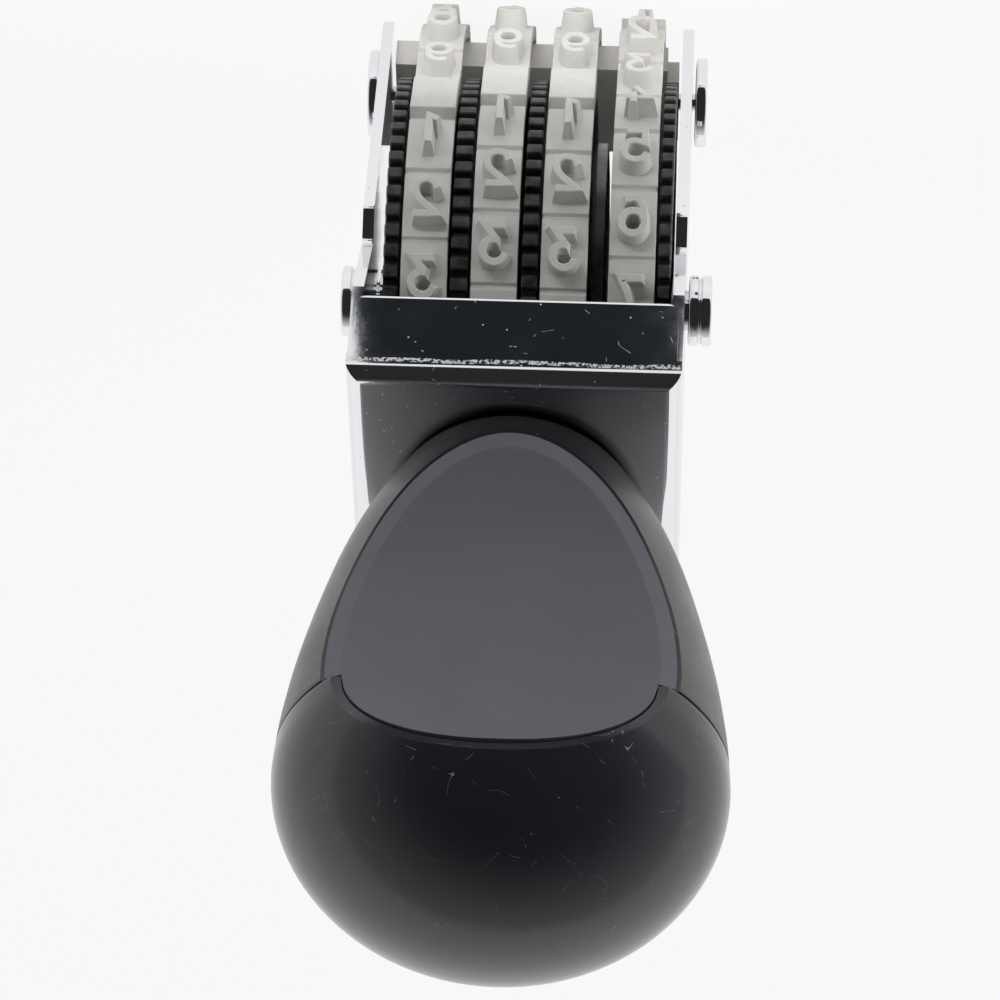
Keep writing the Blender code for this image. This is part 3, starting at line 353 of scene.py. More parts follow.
class StampColours(bpy.types.PropertyGroup):
    """Colours of the stamp and its stage"""

    chrome: colour("Plated sheet and heads", (0.80, 0.81, 0.83))
    steel: colour("Plain steel pieces", (0.60, 0.61, 0.62))
    body: colour("Lower half of the handle", (0.020, 0.020, 0.023))
    cap: colour("Glossy end of the handle", (0.018, 0.020, 0.025))
    label: colour("Bare label plate", (0.125, 0.123, 0.147))
    wheel: colour("Number wheels", (0.012, 0.012, 0.013))
    wheel_worn: colour("Tips of the wheels' teeth", (0.060, 0.060, 0.060))
    rubber: colour("Number bands", (0.60, 0.59, 0.56))
    rubber_dark: colour("Ink shades on the bands", (0.42, 0.41, 0.39))
    anvil: colour("Anvil bar", (0.80, 0.78, 0.74))
    # The divider's two colours are a lit and a shaded copy of one plate: the lighter one is painted light at
    # its lower end, the darker one painted shade among the bands.
    divider: colour("Divider plate at its end", (0.28, 0.27, 0.28))
    divider_painted_shade: colour("Divider plate among the bands", (0.012, 0.011, 0.012))
    dust: colour("Dust specks and scratches", (0.55, 0.55, 0.56))
    floor: colour("Pale floor", (0.86, 0.86, 0.86))
    card: colour("Dark card before the stamp", (0.018, 0.023, 0.030))


# Shapes


def sweep(start, end, steps, first=0):
    """Even steps from start to end, from the first one asked for."""
    return [start + (end - start) * k / steps for k in range(first, steps + 1)]


def object_from(mesh_data, name):
    """Turn a bmesh drawn about the axle into an object in its place."""
    bmesh.ops.remove_doubles(mesh_data, verts=mesh_data.verts[:], dist=MERGE)
    bmesh.ops.dissolve_degenerate(mesh_data, edges=mesh_data.edges[:], dist=MERGE)
    bmesh.ops.recalc_face_normals(mesh_data, faces=mesh_data.faces[:])
    raised = Matrix.Translation((0, 0, bpy.context.scene.stamp_frame.axle_height))
    bmesh.ops.transform(mesh_data, matrix=raised, verts=mesh_data.verts[:])
    mesh = bpy.data.meshes.new(name)
    mesh_data.to_mesh(mesh)
    mesh_data.free()
    made = bpy.data.objects.new(name, mesh)
    bpy.context.scene.collection.objects.link(made)
    return made


def combine(base, other, operation):
    """Apply one exact Boolean and drop the second object."""
    step = base.modifiers.new(operation, "BOOLEAN")
    step.operation = operation
    step.solver = "EXACT"
    step.object = other
    bpy.context.view_layer.update()
    solved = base.evaluated_get(bpy.context.evaluated_depsgraph_get())
    mesh = bpy.data.meshes.new_from_object(solved)
    base.modifiers.clear()
    base.data = mesh
    bpy.data.objects.remove(other, do_unlink=True)
    return base


def bevelled(made, width, segments=2, angle_deg=30.0):
    """Round the sharp edges of a finished solid."""
    mesh = bmesh.new()
    mesh.from_mesh(made.data)
    bmesh.ops.dissolve_limit(mesh, angle_limit=FLAT, verts=mesh.verts[:], edges=mesh.edges[:])
    limit = math.radians(angle_deg)
    sharp = [edge for edge in mesh.edges if edge.calc_face_angle(0.0) > limit]
    bmesh.ops.bevel(mesh, geom=sharp, offset=width, offset_type="OFFSET", segments=segments, profile=0.5,
                    affect="EDGES", clamp_overlap=True, material=-1)
    mesh.to_mesh(made.data)
    mesh.free()
    return made


def smooth(made, angle_deg):
    """Shade smoothly up to an angle, and keep flat faces flat."""
    made.data.shade_smooth()
    made.data.set_sharp_from_angle(angle=math.radians(angle_deg))
    step = made.modifiers.new("flats", "WEIGHTED_NORMAL")
    step.keep_sharp = True
    step.weight = 100
    return made


def placed(made, body, nodes, look):
    """Give a piece its body, the CAD nodes it stands for and its material."""
    made.data.name = made.name
    made.data.materials.clear()
    made.data.materials.append(look)
    for face in made.data.polygons:
        face.material_index = 0
    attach(made, body)
    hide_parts(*nodes)
    return made


def loft(mesh, rings, closed_rings=True, caps=False, looped=False):
    """Skin through rings of points, and return the rows of vertices."""
    rows = [[mesh.verts.new(point) for point in ring] for ring in rings]
    size = len(rows[0])
    last = len(rows) if looped else len(rows) - 1
    for k in range(last):
        this, following = rows[k], rows[(k + 1) % len(rows)]
        for i in range(size if closed_rings else size - 1):
            j = (i + 1) % size
            mesh.faces.new((this[i], this[j], following[j], following[i]))
    if caps:
        mesh.faces.new(rows[0])
        mesh.faces.new(rows[-1])
    return rows


def prism(name, outline, low, high, axis="X"):
    """Extrude a closed outline: (y, z) points along X, or (x, z) points along Y."""
    mesh = bmesh.new()
    if axis == "X":
        points, way = [(low, y, z) for y, z in outline], (high - low, 0.0, 0.0)
    else:
        points, way = [(x, low, z) for x, z in outline], (0.0, high - low, 0.0)
    face = mesh.faces.new([mesh.verts.new(point) for point in points])
    grown = bmesh.ops.extrude_face_region(mesh, geom=[face], use_keep_orig=True)["geom"]
    moved = [part for part in grown if isinstance(part, bmesh.types.BMVert)]
    bmesh.ops.translate(mesh, verts=moved, vec=way)
    return object_from(mesh, name)


def turned(name, profile, steps, centre=(0.0, 0.0), axis="X"):
    """Spin an (along, radius) profile about an axis along X or Z."""
    mesh = bmesh.new()
    if axis == "X":
        points = [(along, centre[0] + radius, centre[1]) for along, radius in profile]
        middle, way = (0.0, *centre), (1.0, 0.0, 0.0)
    else:
        points = [(centre[0] + radius, centre[1], along) for along, radius in profile]
        middle, way = (*centre, 0.0), (0.0, 0.0, 1.0)
    dots = [mesh.verts.new(point) for point in points]
    lines = [mesh.edges.new(pair) for pair in zip(dots, dots[1:])]
    bmesh.ops.spin(mesh, geom=dots + lines, cent=middle, axis=way, angle=math.tau, steps=steps,
                   use_merge=True)
    return object_from(mesh, name)


def rod(name, low, high, radius, steps=ROD_STEPS, centre=(0.0, 0.0)):
    """A plain rod along X."""
    mesh = bmesh.new()
    place = Matrix.Translation(((low + high) / 2, *centre)) @ Matrix.Rotation(QUARTER, 4, "Y")
    bmesh.ops.create_cone(mesh, cap_ends=True, segments=steps, radius1=radius, radius2=radius,
                          depth=high - low, matrix=place)
    return object_from(mesh, name)


def rounded(corners, steps=ARC_STEPS):
    """Replace each (y, z, radius) corner by an arc of that radius."""
    outline = []
    total = len(corners)
    for i, (y, z, radius) in enumerate(corners):
        here = Vector((y, z))
        if not radius:
            outline.append((y, z))
            continue
        before = (Vector(corners[i - 1][:2]) - here).normalized()
        after = (Vector(corners[(i + 1) % total][:2]) - here).normalized()
        half = before.angle(after) / 2
        centre = here + (before + after).normalized() * (radius / math.sin(half))
        start = here + before * (radius / math.tan(half)) - centre
        end = here + after * (radius / math.tan(half)) - centre
        for k in range(steps + 1):
            spoke = (start * (1 - k / steps) + end * (k / steps)).normalized() * radius
            outline.append(tuple(centre + spoke))
    return outline


def mirrored(front):
    """Close a (y, z, radius) outline given for the front with its copy at the back."""
    return [(-y, z, r) for y, z, r in front] + [(y, z, r) for y, z, r in reversed(front)]


# Frame and heads


def frame_shape(s):
    floor = -s.foot_drop - s.margin
    inner = s.half_width - s.sheet
    under = s.top - s.sheet
    reach = s.front + s.margin
    side = rounded(mirrored((
        (s.front, s.top, s.bend),
        (s.front, s.flange_bottom, s.shoulder),
        (s.waist_front, s.waist_z, s.waist_radius),
        (s.hip_front, s.hip_z, s.waist_radius),
        (s.foot_front, -s.foot_drop, s.foot_radius),
    )))
    made = prism("frame_look", side, -s.half_width, s.half_width)
    outer = rounded(mirrored(((s.half_width, s.top, s.bend), (s.half_width, floor, 0.0))))
    combine(made, prism("outer", outer, -reach, reach, "Y"), "INTERSECT")
    across = rounded(mirrored(((inner, under, s.bend - s.sheet), (inner, floor, 0.0))))
    along = rounded(mirrored(((s.front - s.sheet, under, s.bend - s.sheet), (s.front - s.sheet, floor, 0.0))))
    hollow = prism("hollow", along, -inner - s.margin, inner + s.margin)
    combine(hollow, prism("across", across, -reach, reach, "Y"), "INTERSECT")
    combine(made, hollow, "DIFFERENCE")
    wall = s.half_width + s.margin
    behind = s.front - s.sheet
    half = s.half_width - s.flange_inset
    edge = rounded(mirrored(((half, s.relief_top, 0.0), (half, s.flange_bottom, s.flange_corner))))
    outside = [(-wall, floor), (-wall, s.relief_top)] + edge + [(wall, s.relief_top), (wall, floor)]
    for side in (1, -1):
        near, far = sorted((side * behind, side * (behind - s.relief)))
        slit = [(near, floor), (near, s.relief_top), (far, s.relief_top), (far, floor)]
        combine(made, prism("slit", slit, -wall, wall), "DIFFERENCE")
        start, end = sorted((side * (behind - s.relief / 2), side * reach))
        combine(made, prism("outside", outside, start, end, "Y"), "DIFFERENCE")
    combine(made, rod("axle_hole", -wall, wall, s.axle_bore, BORE_STEPS), "DIFFERENCE")
    combine(made, rod("pin_hole", -wall, wall, s.pin_radius, PIN_STEPS, (0.0, -s.pin_drop)), "DIFFERENCE")
    return smooth(bevelled(made, s.edge), METAL_CREASE)


def head_shape(name, side, s, radius, reach, drop, groove, dish):
    """A round head outside a side plate: a rounded disc, grooved and dished if asked."""
    start = s.half_width + s.head_gap
    end = s.half_width + reach
    edge = s.head_edge
    middle = (start + end) / 2
    profile = [(start, 0.0), (start, radius - edge)]
    profile += arc_corner((start + edge, radius - edge), edge, math.pi, QUARTER)
    if groove:
        for turn in sweep(0.0, math.pi, ARC_STEPS):
            profile.append((middle - groove * math.cos(turn), radius - groove * math.sin(turn)))
    profile += arc_corner((end - edge, radius - edge), edge, QUARTER, 0.0)
    if dish:
        profile += [(end, radius * DISH_SHARES[0]), (end - dish, radius * DISH_SHARES[1])]
    profile.append((end - dish, 0.0))
    return smooth(turned(name, [(side * x, r) for x, r in profile], HEAD_STEPS, (0.0, -drop)), CURVE_CREASE)


def arc_corner(centre, radius, start, end, steps=5):
    return [(centre[0] + radius * math.cos(turn), centre[1] + radius * math.sin(turn))
            for turn in sweep(start, end, steps)]


# Wheels


def wheel_shape(index, s, f):
    """A toothed rim with chamfered sides on a plain drum."""
    name = "number_wheel_" + str(index + 1) + "_look"
    low, high = WHEELS[index]["rim"]
    made = prism(name, rim_outline(math.radians(WHEELS[index]["phase_deg"]), s), low, high)
    bevelled(made, s.tooth_edge, 1, SIDE_ANGLE)
    drum_low, drum_high = DRUMS[index]
    combine(made, rod("drum", drum_low, drum_high, s.path_radius - s.drum_gap, DRUM_STEPS), "UNION")
    start, end = min(low, drum_low) - f.margin, max(high, drum_high) + f.margin
    bore = rod("bore", start, end, f.axle_bore, BORE_STEPS)
    return smooth(combine(made, bore, "DIFFERENCE"), WHEEL_CREASE)


def rim_outline(phase, s):
    """Outline of the rim with rounded tooth tips."""
    outline = []
    pitch = math.tau / s.teeth
    root = s.rim_radius - s.tooth_depth
    for k in range(s.teeth):
        for offset, rise in TOOTH_SHARES:
            turn = phase + pitch * (k + offset)
            radius = root + s.tooth_depth * rise
            outline.append((-radius * math.cos(turn), radius * math.sin(turn)))
    return outline


# Bands


def curve_between(before, start, end, after, steps):
    """Points of a smooth curve from start to end, without start."""
    found = []
    for k in range(1, steps + 1):
        t = k / steps
        found.append(0.5 * (2 * start + (end - before) * t
                            + (2 * before - 5 * start + 4 * end - after) * t * t
                            + (3 * start - before - 3 * end + after) * t * t * t))
    return found


def band_path(s):
    """Inner face of a band as (front, z) points: down the front from the top to the middle below."""
    points = []
    leaves = math.radians(s.leaves_deg)
    for turn in sweep(QUARTER, leaves, PATH_STEPS):
        points.append(Vector((s.path_radius * math.cos(turn), s.path_radius * math.sin(turn))))
    leave = points[-1]
    corner = Vector((s.corner_front, -s.bottom))
    flat = Vector((-1.0, 0.0))
    slope = (corner - Vector(BAND_BULGE[-1])).normalized()
    back = s.corner_radius / math.tan((math.pi - slope.angle(flat)) / 2)
    knots = [leave] + [Vector(p) for p in BAND_BULGE] + [corner - slope * back, corner]
    along = Vector((math.sin(leaves), -math.cos(leaves)))
    knots.insert(0, leave - (knots[1] - leave).length * along)
    for i in range(1, len(knots) - 2):
        points += curve_between(knots[i - 1], knots[i], knots[i + 1], knots[i + 2], BULGE_STEPS)
    end = corner + flat * back
    centre = end + Vector((0.0, s.corner_radius))
    start = points[-1] - centre
    for k in range(1, TURN_STEPS + 1):
        share = k / TURN_STEPS
        spoke = (start * (1 - share) + (end - centre) * share).normalized() * s.corner_radius
        points.append(centre + spoke)
    points.append(Vector((0.0, -s.bottom)))
    return points


class Track:
    """The closed path of a band, read by its length from the top down the front."""

    def __init__(self, s):
        half = band_path(s)
        self.step = s.step
        self.points = half + [Vector((-p.x, p.y)) for p in reversed(half)][1:-1]
        self.marks = [0.0]
        for i in range(len(self.points)):
            step = self.points[(i + 1) % len(self.points)] - self.points[i]
            self.marks.append(self.marks[-1] + step.length)
        self.length = self.marks[-1]

    def place(self, distance):
        distance %= self.length
        low, high = 0, len(self.marks) - 1
        while high - low > 1:
            middle = (low + high) // 2
            if self.marks[middle] <= distance:
                low = middle
            else:
                high = middle
        share = (distance - self.marks[low]) / (self.marks[low + 1] - self.marks[low])
        return self.points[low].lerp(self.points[(low + 1) % len(self.points)], share)

    def at(self, distance, height):
        """(y, z) of a point at a height over the inner face."""
        along = self.place(distance + self.step) - self.place(distance - self.step)
        spot = self.place(distance) + Vector((-along.y, along.x)).normalized() * height
        return -spot.x, spot.y


def band_signs(first):
    """Signs of the tiles down the front, from the second place in the order that shows the given one."""
    start = BAND_ORDER.index(first, BAND_ORDER.index(first) + 1)
    return BAND_ORDER[start:] + BAND_ORDER[:start]


def tile_stations(s, start, pitch, signs):
    """Places along the band with the band's height at each."""
    stations = []
    half = s.notch_width / 2
    for k, sign in enumerate(signs):
        joint = start + pitch * k
        height = s.thickness + (s.blank_relief if sign == "blank" else 0.0)
        before = s.thickness + (s.blank_relief if signs[k - 1] == "blank" else 0.0)
        floor = s.thickness - s.notch_depth
        soft = half * 0.3
        stations += [(joint - half, before - soft), (joint - half * 0.7, floor + soft),
                     (joint - half * 0.4, floor), (joint + half * 0.4, floor),
                     (joint + half * 0.7, floor + soft), (joint + half, height - soft),
                     (joint + half + soft, height)]
        for i in range(1, TILE_STEPS):
            stations.append((joint + half + soft + (pitch - 2 * (half + soft)) * i / TILE_STEPS, height))
        stations.append((joint + pitch - half - soft, height))
    return stations


def band_body(mesh, s, track, span, stations):
    low, high = span
    edge = s.side_edge
    rings = []
    for distance, height in stations:
        inner = track.at(distance, 0.0)
        side = track.at(distance, height - edge)
        chamfer = track.at(distance, height - edge * 0.3)
        outer = track.at(distance, height)
        rings.append([(low, *inner), (low, *side), (low + edge * 0.3, *chamfer), (low + edge, *outer),
                      (high - edge, *outer), (high - edge * 0.3, *chamfer), (high, *side), (high, *inner)])
    loft(mesh, rings, looped=True)


def smooth_stroke(shares, closed, s):
    """Digit stroke in metres, curved between points that aren't marked as corners."""
    points = [Vector((p[0] * s.digit_width, p[1] * s.digit_height)) for p in shares]
    sharp = [len(p) > 2 for p in shares]
    total = len(points)
    found = []
    for i in range(total if closed else total - 1):
        j = (i + 1) % total
        here, following = points[i], points[j]
        found.append(here)
        if sharp[i] and sharp[j]:
            parts = max(1, round((following - here).length / (s.digit_height / 5)))
            found += [here.lerp(following, k / parts) for k in range(1, parts)]
            continue
        before = here - (following - here) * 0.3 if sharp[i] else points[i - 1]
        after = following + (following - here) * 0.3 if sharp[j] else points[(j + 1) % total]
        found += curve_between(before, here, following, after, STROKE_STEPS)[:-1]
    if not closed:
        found.append(points[-1])
    return found


def stroke_side(points, closed, half_width, stretch_end):
    """Left and right edges of a stroke, mitred at its corners."""
    left, right = [], []
    total = len(points)
    for i, here in enumerate(points):
        into = here - points[i - 1] if closed or i else points[1] - here
        out = points[(i + 1) % total] - here if closed or i < total - 1 else here - points[i - 1]
        into.normalize()
        out.normalize()
        side = (Vector((-into.y, into.x)) + Vector((-out.y, out.x))).normalized()
        stretch = 1 / max(side.dot(Vector((-out.y, out.x))), 0.5)
        end = Vector((0.0, 0.0))
        if not closed and i == 0:
            end = -out * stretch_end
        if not closed and i == total - 1:
            end = into * stretch_end
        left.append(here + end + side * half_width * stretch)
        right.append(here + end - side * half_width * stretch)
    return left, right


def add_stroke(mesh, s, track, points, closed, middle, centre_x, drop):
    high = s.thickness + s.relief - drop
    levels = (
        (s.stroke_top / 2 - s.stroke_edge, high, -s.stroke_edge),
        (s.stroke_top / 2, high - s.stroke_edge, 0.0),
        (s.stroke_base / 2, s.thickness - s.sink, (s.stroke_base - s.stroke_top) / 2),
    )
    sides = [stroke_side(points, closed, half, end) for half, _, end in levels]
    rings = []
    for i in range(len(points)):
        ring = []
        for side in (0, 1):
            order = range(3) if side else reversed(range(3))
            for level in order:
                spot = sides[level][side][i]
                ring.append((centre_x + spot.x, *track.at(middle + spot.y, levels[level][1])))
        rings.append(ring)
    loft(mesh, rings, caps=not closed, looped=closed)


def band_shape(index, s, track):
    spans = BANDS[index]
    mesh = bmesh.new()
    pitch = track.length / s.tiles
    start = s.path_radius * math.radians(90.0 - spans["joint_deg"])
    signs = band_signs(spans["first"])
    band_body(mesh, s, track, spans["span"], tile_stations(s, start, pitch, signs))
    centre_x = sum(spans["span"]) / 2
    for k, sign in enumerate(signs):
        for order, (closed, shares) in enumerate(DIGIT_SHARES.get(sign, ())):
            points = smooth_stroke(shares, closed, s)
            middle = start + pitch * (k + 0.5)
            add_stroke(mesh, s, track, points, closed, middle, centre_x, order * s.second_drop)
    return smooth(object_from(mesh, "number_band_" + str(index + 1) + "_look"), BAND_CREASE)


def divider_shape(s, f):
    outline = []
    end = math.radians(s.divider_end_deg)
    for turn in sweep(end, math.pi - end, DIVIDER_STEPS):
        outline.append((-s.divider_radius * math.cos(turn), s.divider_radius * math.sin(turn), 0.0))
    outline[0] = (*outline[0][:2], s.divider_corner)
    outline[-1] = (*outline[-1][:2], s.divider_corner)
    outline = [outline[0]] + outline[DIVIDER_SKIPPED:-DIVIDER_SKIPPED] + [outline[-1]]
    outline += [(y, -s.divider_drop, s.divider_corner) for y in (s.divider_half, -s.divider_half)]
    made = prism("divider_plate_look", rounded(outline), s.divider_low, s.divider_high)
    cutter = rod("bore", s.divider_low - f.margin, s.divider_high + f.margin, f.axle_bore, BORE_STEPS)
    combine(made, cutter, "DIFFERENCE")
    return smooth(bevelled(made, s.anvil_edge, 3), METAL_CREASE)


def anvil_shape(s, f):
    inner = f.half_width - f.sheet - s.anvil_gap
    main = mirrored(((s.anvil_half, -s.anvil_high, 0.0), (s.anvil_half, -s.anvil_low, 0.0)))
    neck = mirrored(((s.neck_half, -s.neck_high, 0.0), (s.neck_half, -s.neck_low, 0.0)))
    made = prism("anvil_bar_look", rounded(main), s.neck_start, inner)
    combine(made, prism("neck", rounded(neck), -inner, s.neck_start + s.anvil_edge), "UNION")
    return smooth(bevelled(made, s.anvil_edge, 3), METAL_CREASE)


# Handle


def read_table(table, height):
    """Smooth reading of a (height, size) table."""
    height = min(max(height, table[0][0]), table[-1][0])
    i = 0
    while i < len(table) - 2 and height > table[i + 1][0]:
        i += 1
    (z0, v0), (z1, v1) = table[i], table[i + 1]
    width = z1 - z0
    s0, s1 = slope_at(table, i), slope_at(table, i + 1)
    t = (height - z0) / width
    return ((2 * t**3 - 3 * t**2 + 1) * v0 + (t**3 - 2 * t**2 + t) * width * s0
            + (3 * t**2 - 2 * t**3) * v1 + (t**3 - t**2) * width * s1)


def slope_at(table, i):
    low, high = max(i - 1, 0), min(i + 1, len(table) - 1)
    return (table[high][1] - table[low][1]) / (table[high][0] - table[low][0])


def section(h, height):
    """Half-width and half-depth of the handle at a height over the axle."""
    if height <= h.bulb_centre:
        return read_table(HANDLE_WIDTHS, height), read_table(HANDLE_DEPTHS, height)
    share = min((height - h.bulb_centre) / h.bulb_rise, 1.0)
    half = h.bulb_radius * math.sqrt(1 - share * share)
    return half, half


def scooped_front(h, z, radius):
    """Distance to the front of the scooped face at a height."""
    return h.scoop_front - math.sqrt(radius * radius - (z - h.scoop_z) ** 2)


def scoop_half(h, z, radius):
    """Half width of the scooped face at a height, or zero off it."""
    half_width, half_depth = section(h, z)
    share = scooped_front(h, z, radius) / half_depth if half_depth else 1.0
    return half_width * math.sqrt(max(1 - share * share, 0.0))


def scoop_end(h, step, radius):
    """Height at which the scooped face runs out, up or down from the seam."""
    z = h.seam
    while abs(step) > MERGE / 10:
        if scoop_half(h, z + step, radius) > 0:
            z += step
        else:
            step /= 2
    return z


def label_outline(h, steps):
    """Half outline of the scooped face at the label's border: up to the seam, and past it."""
    radius = h.scoop_radius + h.border_drop
    tip = max(scoop_end(h, -0.001, radius), h.base + h.label_lift)
    end = scoop_end(h, 0.001, radius)
    below, above = [], []
    for turn in sweep(0.0, QUARTER, steps):
        z = tip + (h.seam - tip) * (1 - math.cos(turn))
        below.append(Vector((scoop_half(h, z, radius), z)))
        z = h.seam + (end - h.seam) * math.sin(turn)
        above.append(Vector((scoop_half(h, z, radius), z)))
    below[0].x = 0.0
    above[-1].x = 0.0
    return below, above


def moved_in(points, insets):
    """Shift each outline point inwards along its own normal."""
    moved = []
    for i, here in enumerate(points):
        before = points[i - 1] if i else Vector((-points[1].x, points[1].y))
        last = i == len(points) - 1
        after = Vector((-points[i - 1].x, points[i - 1].y)) if last else points[i + 1]
        along = (after - before).normalized()
        moved.append(here + Vector((-along.y, along.x)) * insets[i])
    return moved


def label_edges(h, steps):
    """Top edge and border edge of the label as half outlines, and the groove's edge in the cap."""
    below, above = label_outline(h, steps)
    insets = [h.border] * len(below)
    insets += sweep(h.border, h.end_inset, steps, 1)
    outline = below + above[1:]
    top = moved_in(outline, insets)
    wide = moved_in(outline, [h.label_inset] * len(outline))
    narrow = moved_in(outline, [inset - h.label_edge for inset in insets])
    groove = [h.groove_side] * len(below)
    groove += sweep(h.groove_side, h.groove_end, steps, 1)
    groove = moved_in(outline, [inset - room for inset, room in zip(insets, groove)])
    seam = len(below) - 1
    top = top[:seam + 1] + top[seam:]
    border = wide[:seam + 1] + narrow[seam:]
    for points in (top, border, groove):
        points[0].x = points[-1].x = 0.0
    return top, border, groove[seam:]


def label_shape(h):
    """The label plate: a flat-topped slab on the scoop with a sloping border."""
    top, border, _ = label_edges(h, LABEL_STEPS)
    edge = h.label_edge * 0.5
    soft = [a.lerp(b, 0.12) for a, b in zip(top, border)]
    mesh = bmesh.new()
    middle = h.scoop_radius + h.border_drop
    levels = ((top, h.scoop_radius), (soft, h.scoop_radius + h.border_drop * 0.06), (border, middle - edge),
              (border, middle), (border, h.scoop_radius + h.label_thickness))
    rings = []
    for i in range(len(top)):
        ring = []
        for side in (1, -1):
            for outline, radius in (levels if side == 1 else reversed(levels)):
                spot = outline[i]
                ring.append((side * spot.x, -scooped_front(h, spot.y, radius), spot.y))
        rings.append(ring)
    loft(mesh, rings)
    return smooth(object_from(mesh, "label_plate_look"), LABEL_CREASE)


def groove_half(groove, z):
    """Half width of the label's groove in the cap at a height."""
    for low, high in zip(groove, groove[1:]):
        if low.y <= z <= high.y:
            share = (z - low.y) / max(high.y - low.y, MERGE)
            return low.x + (high.x - low.x) * share
    return groove[0].x if z < groove[0].y else 0.0


def handle_ring(h, z, radius, groove, shrink=0.0):
    """One ring of the handle: round the back, then across the scooped front."""
    half_width, half_depth = section(h, z)
    half_width -= shrink
    half_depth -= shrink
    front = min(scooped_front(h, z, radius), half_depth)
    share = front / half_depth if half_depth > 0 else 1.0
    cut = half_width * math.sqrt(1 - share * share)
    start = -math.asin(share)
    ring = []
    for turn in sweep(start, math.pi - start, h.round_steps):
        ring.append((half_width * math.cos(turn), half_depth * math.sin(turn), z))
    edge = min(h.facet_edge, cut)
    inner = max(cut - edge, 0.0)
    gap = min(groove, inner)
    floor = scooped_front(h, z, h.scoop_radius + h.label_thickness + h.label_gap)
    low = floor if gap > 0 else front
    for side in (-1, 1):
        middle = inner * 0.5 + gap * 0.5
        places = [(cut, front), (inner, front), (middle, front), (gap, front), (gap, low), (0.0, low)]
        if side == 1:
            places.reverse()
        places = places[1:] if side == -1 else places[1:-1]
        for x, depth in places:
            ring.append((side * x, -depth, z))
    return ring


def handle_body_shape(h):
    radius = h.scoop_radius + h.label_thickness + h.label_gap * 0.3
    top = h.seam - h.seam_gap / 2
    tip = scoop_end(h, -0.001, radius)
    heights = sweep(h.base + h.base_edge, tip, FOOT_STEPS)[:-1]
    for k in range(h.body_rings + 1):
        share = k / h.body_rings
        heights.append(tip + (top - h.seam_edge - tip) * (share * share * 0.6 + share * 0.4))
    rings = []
    for turn in sweep(0.0, QUARTER, EDGE_STEPS):
        shrink = h.base_edge * (1 - math.sin(turn))
        rings.append(handle_ring(h, h.base + h.base_edge * (1 - math.cos(turn)), radius, 0.0, shrink))
    rings += [handle_ring(h, z, radius, 0.0) for z in heights[1:]]
    for turn in sweep(0.0, QUARTER, EDGE_STEPS, 1):
        z = top - h.seam_edge * (1 - math.sin(turn))
        rings.append(handle_ring(h, z, radius, 0.0, h.seam_edge * (1 - math.cos(turn))))
    mesh = bmesh.new()
    loft(mesh, rings, caps=True)
    return smooth(object_from(mesh, "handle_body_look"), CURVE_CREASE)


def handle_cap_shape(h):
    _, _, groove = label_edges(h, LABEL_STEPS)
    low = h.seam + h.seam_gap / 2
    end = scoop_end(h, 0.001, h.scoop_radius)
    groove_end = groove[-1].y
    foot = low + h.seam_edge
    heights = [foot + (groove_end - foot) * math.sin(turn) for turn in sweep(0.0, QUARTER, GROOVE_STEPS, 1)]
    heights.append(groove_end + MERGE * 2)
    rise = end - groove_end
    heights += [groove_end + rise * math.sin(turn) for turn in sweep(0.0, QUARTER, LIP_STEPS, 1)]
    start = math.asin((end - h.bulb_centre) / h.bulb_rise)
    rings = []
    for turn in sweep(0.0, QUARTER, EDGE_STEPS):
        z = low + h.seam_edge * (1 - math.cos(turn))
        shrink = h.seam_edge * (1 - math.sin(turn))
        rings.append(handle_ring(h, z, h.scoop_radius, groove_half(groove, z), shrink))
    rings += [handle_ring(h, z, h.scoop_radius, groove_half(groove, z)) for z in heights]
    for k in range(1, h.cap_rings):
        turn = start + (QUARTER - start) * k / h.cap_rings
        rings.append(handle_ring(h, h.bulb_centre + h.bulb_rise * math.sin(turn), h.scoop_radius, 0.0))
    mesh = bmesh.new()
    loft(mesh, rings, caps=True)
    return smooth(object_from(mesh, "handle_cap_look"), CURVE_CREASE)


# Materials


def add_node(tree, kind, inputs=(), **settings):
    """A new node with its settings, and with a link or a value on each of the given inputs."""
    made = tree.nodes.new(kind)
    for key, value in settings.items():
        setattr(made, key, value)
    for key, value in dict(inputs).items():
        if isinstance(value, bpy.types.NodeSocket):
            tree.links.new(value, made.inputs[key])
        else:
            made.inputs[key].default_value = value
    return made


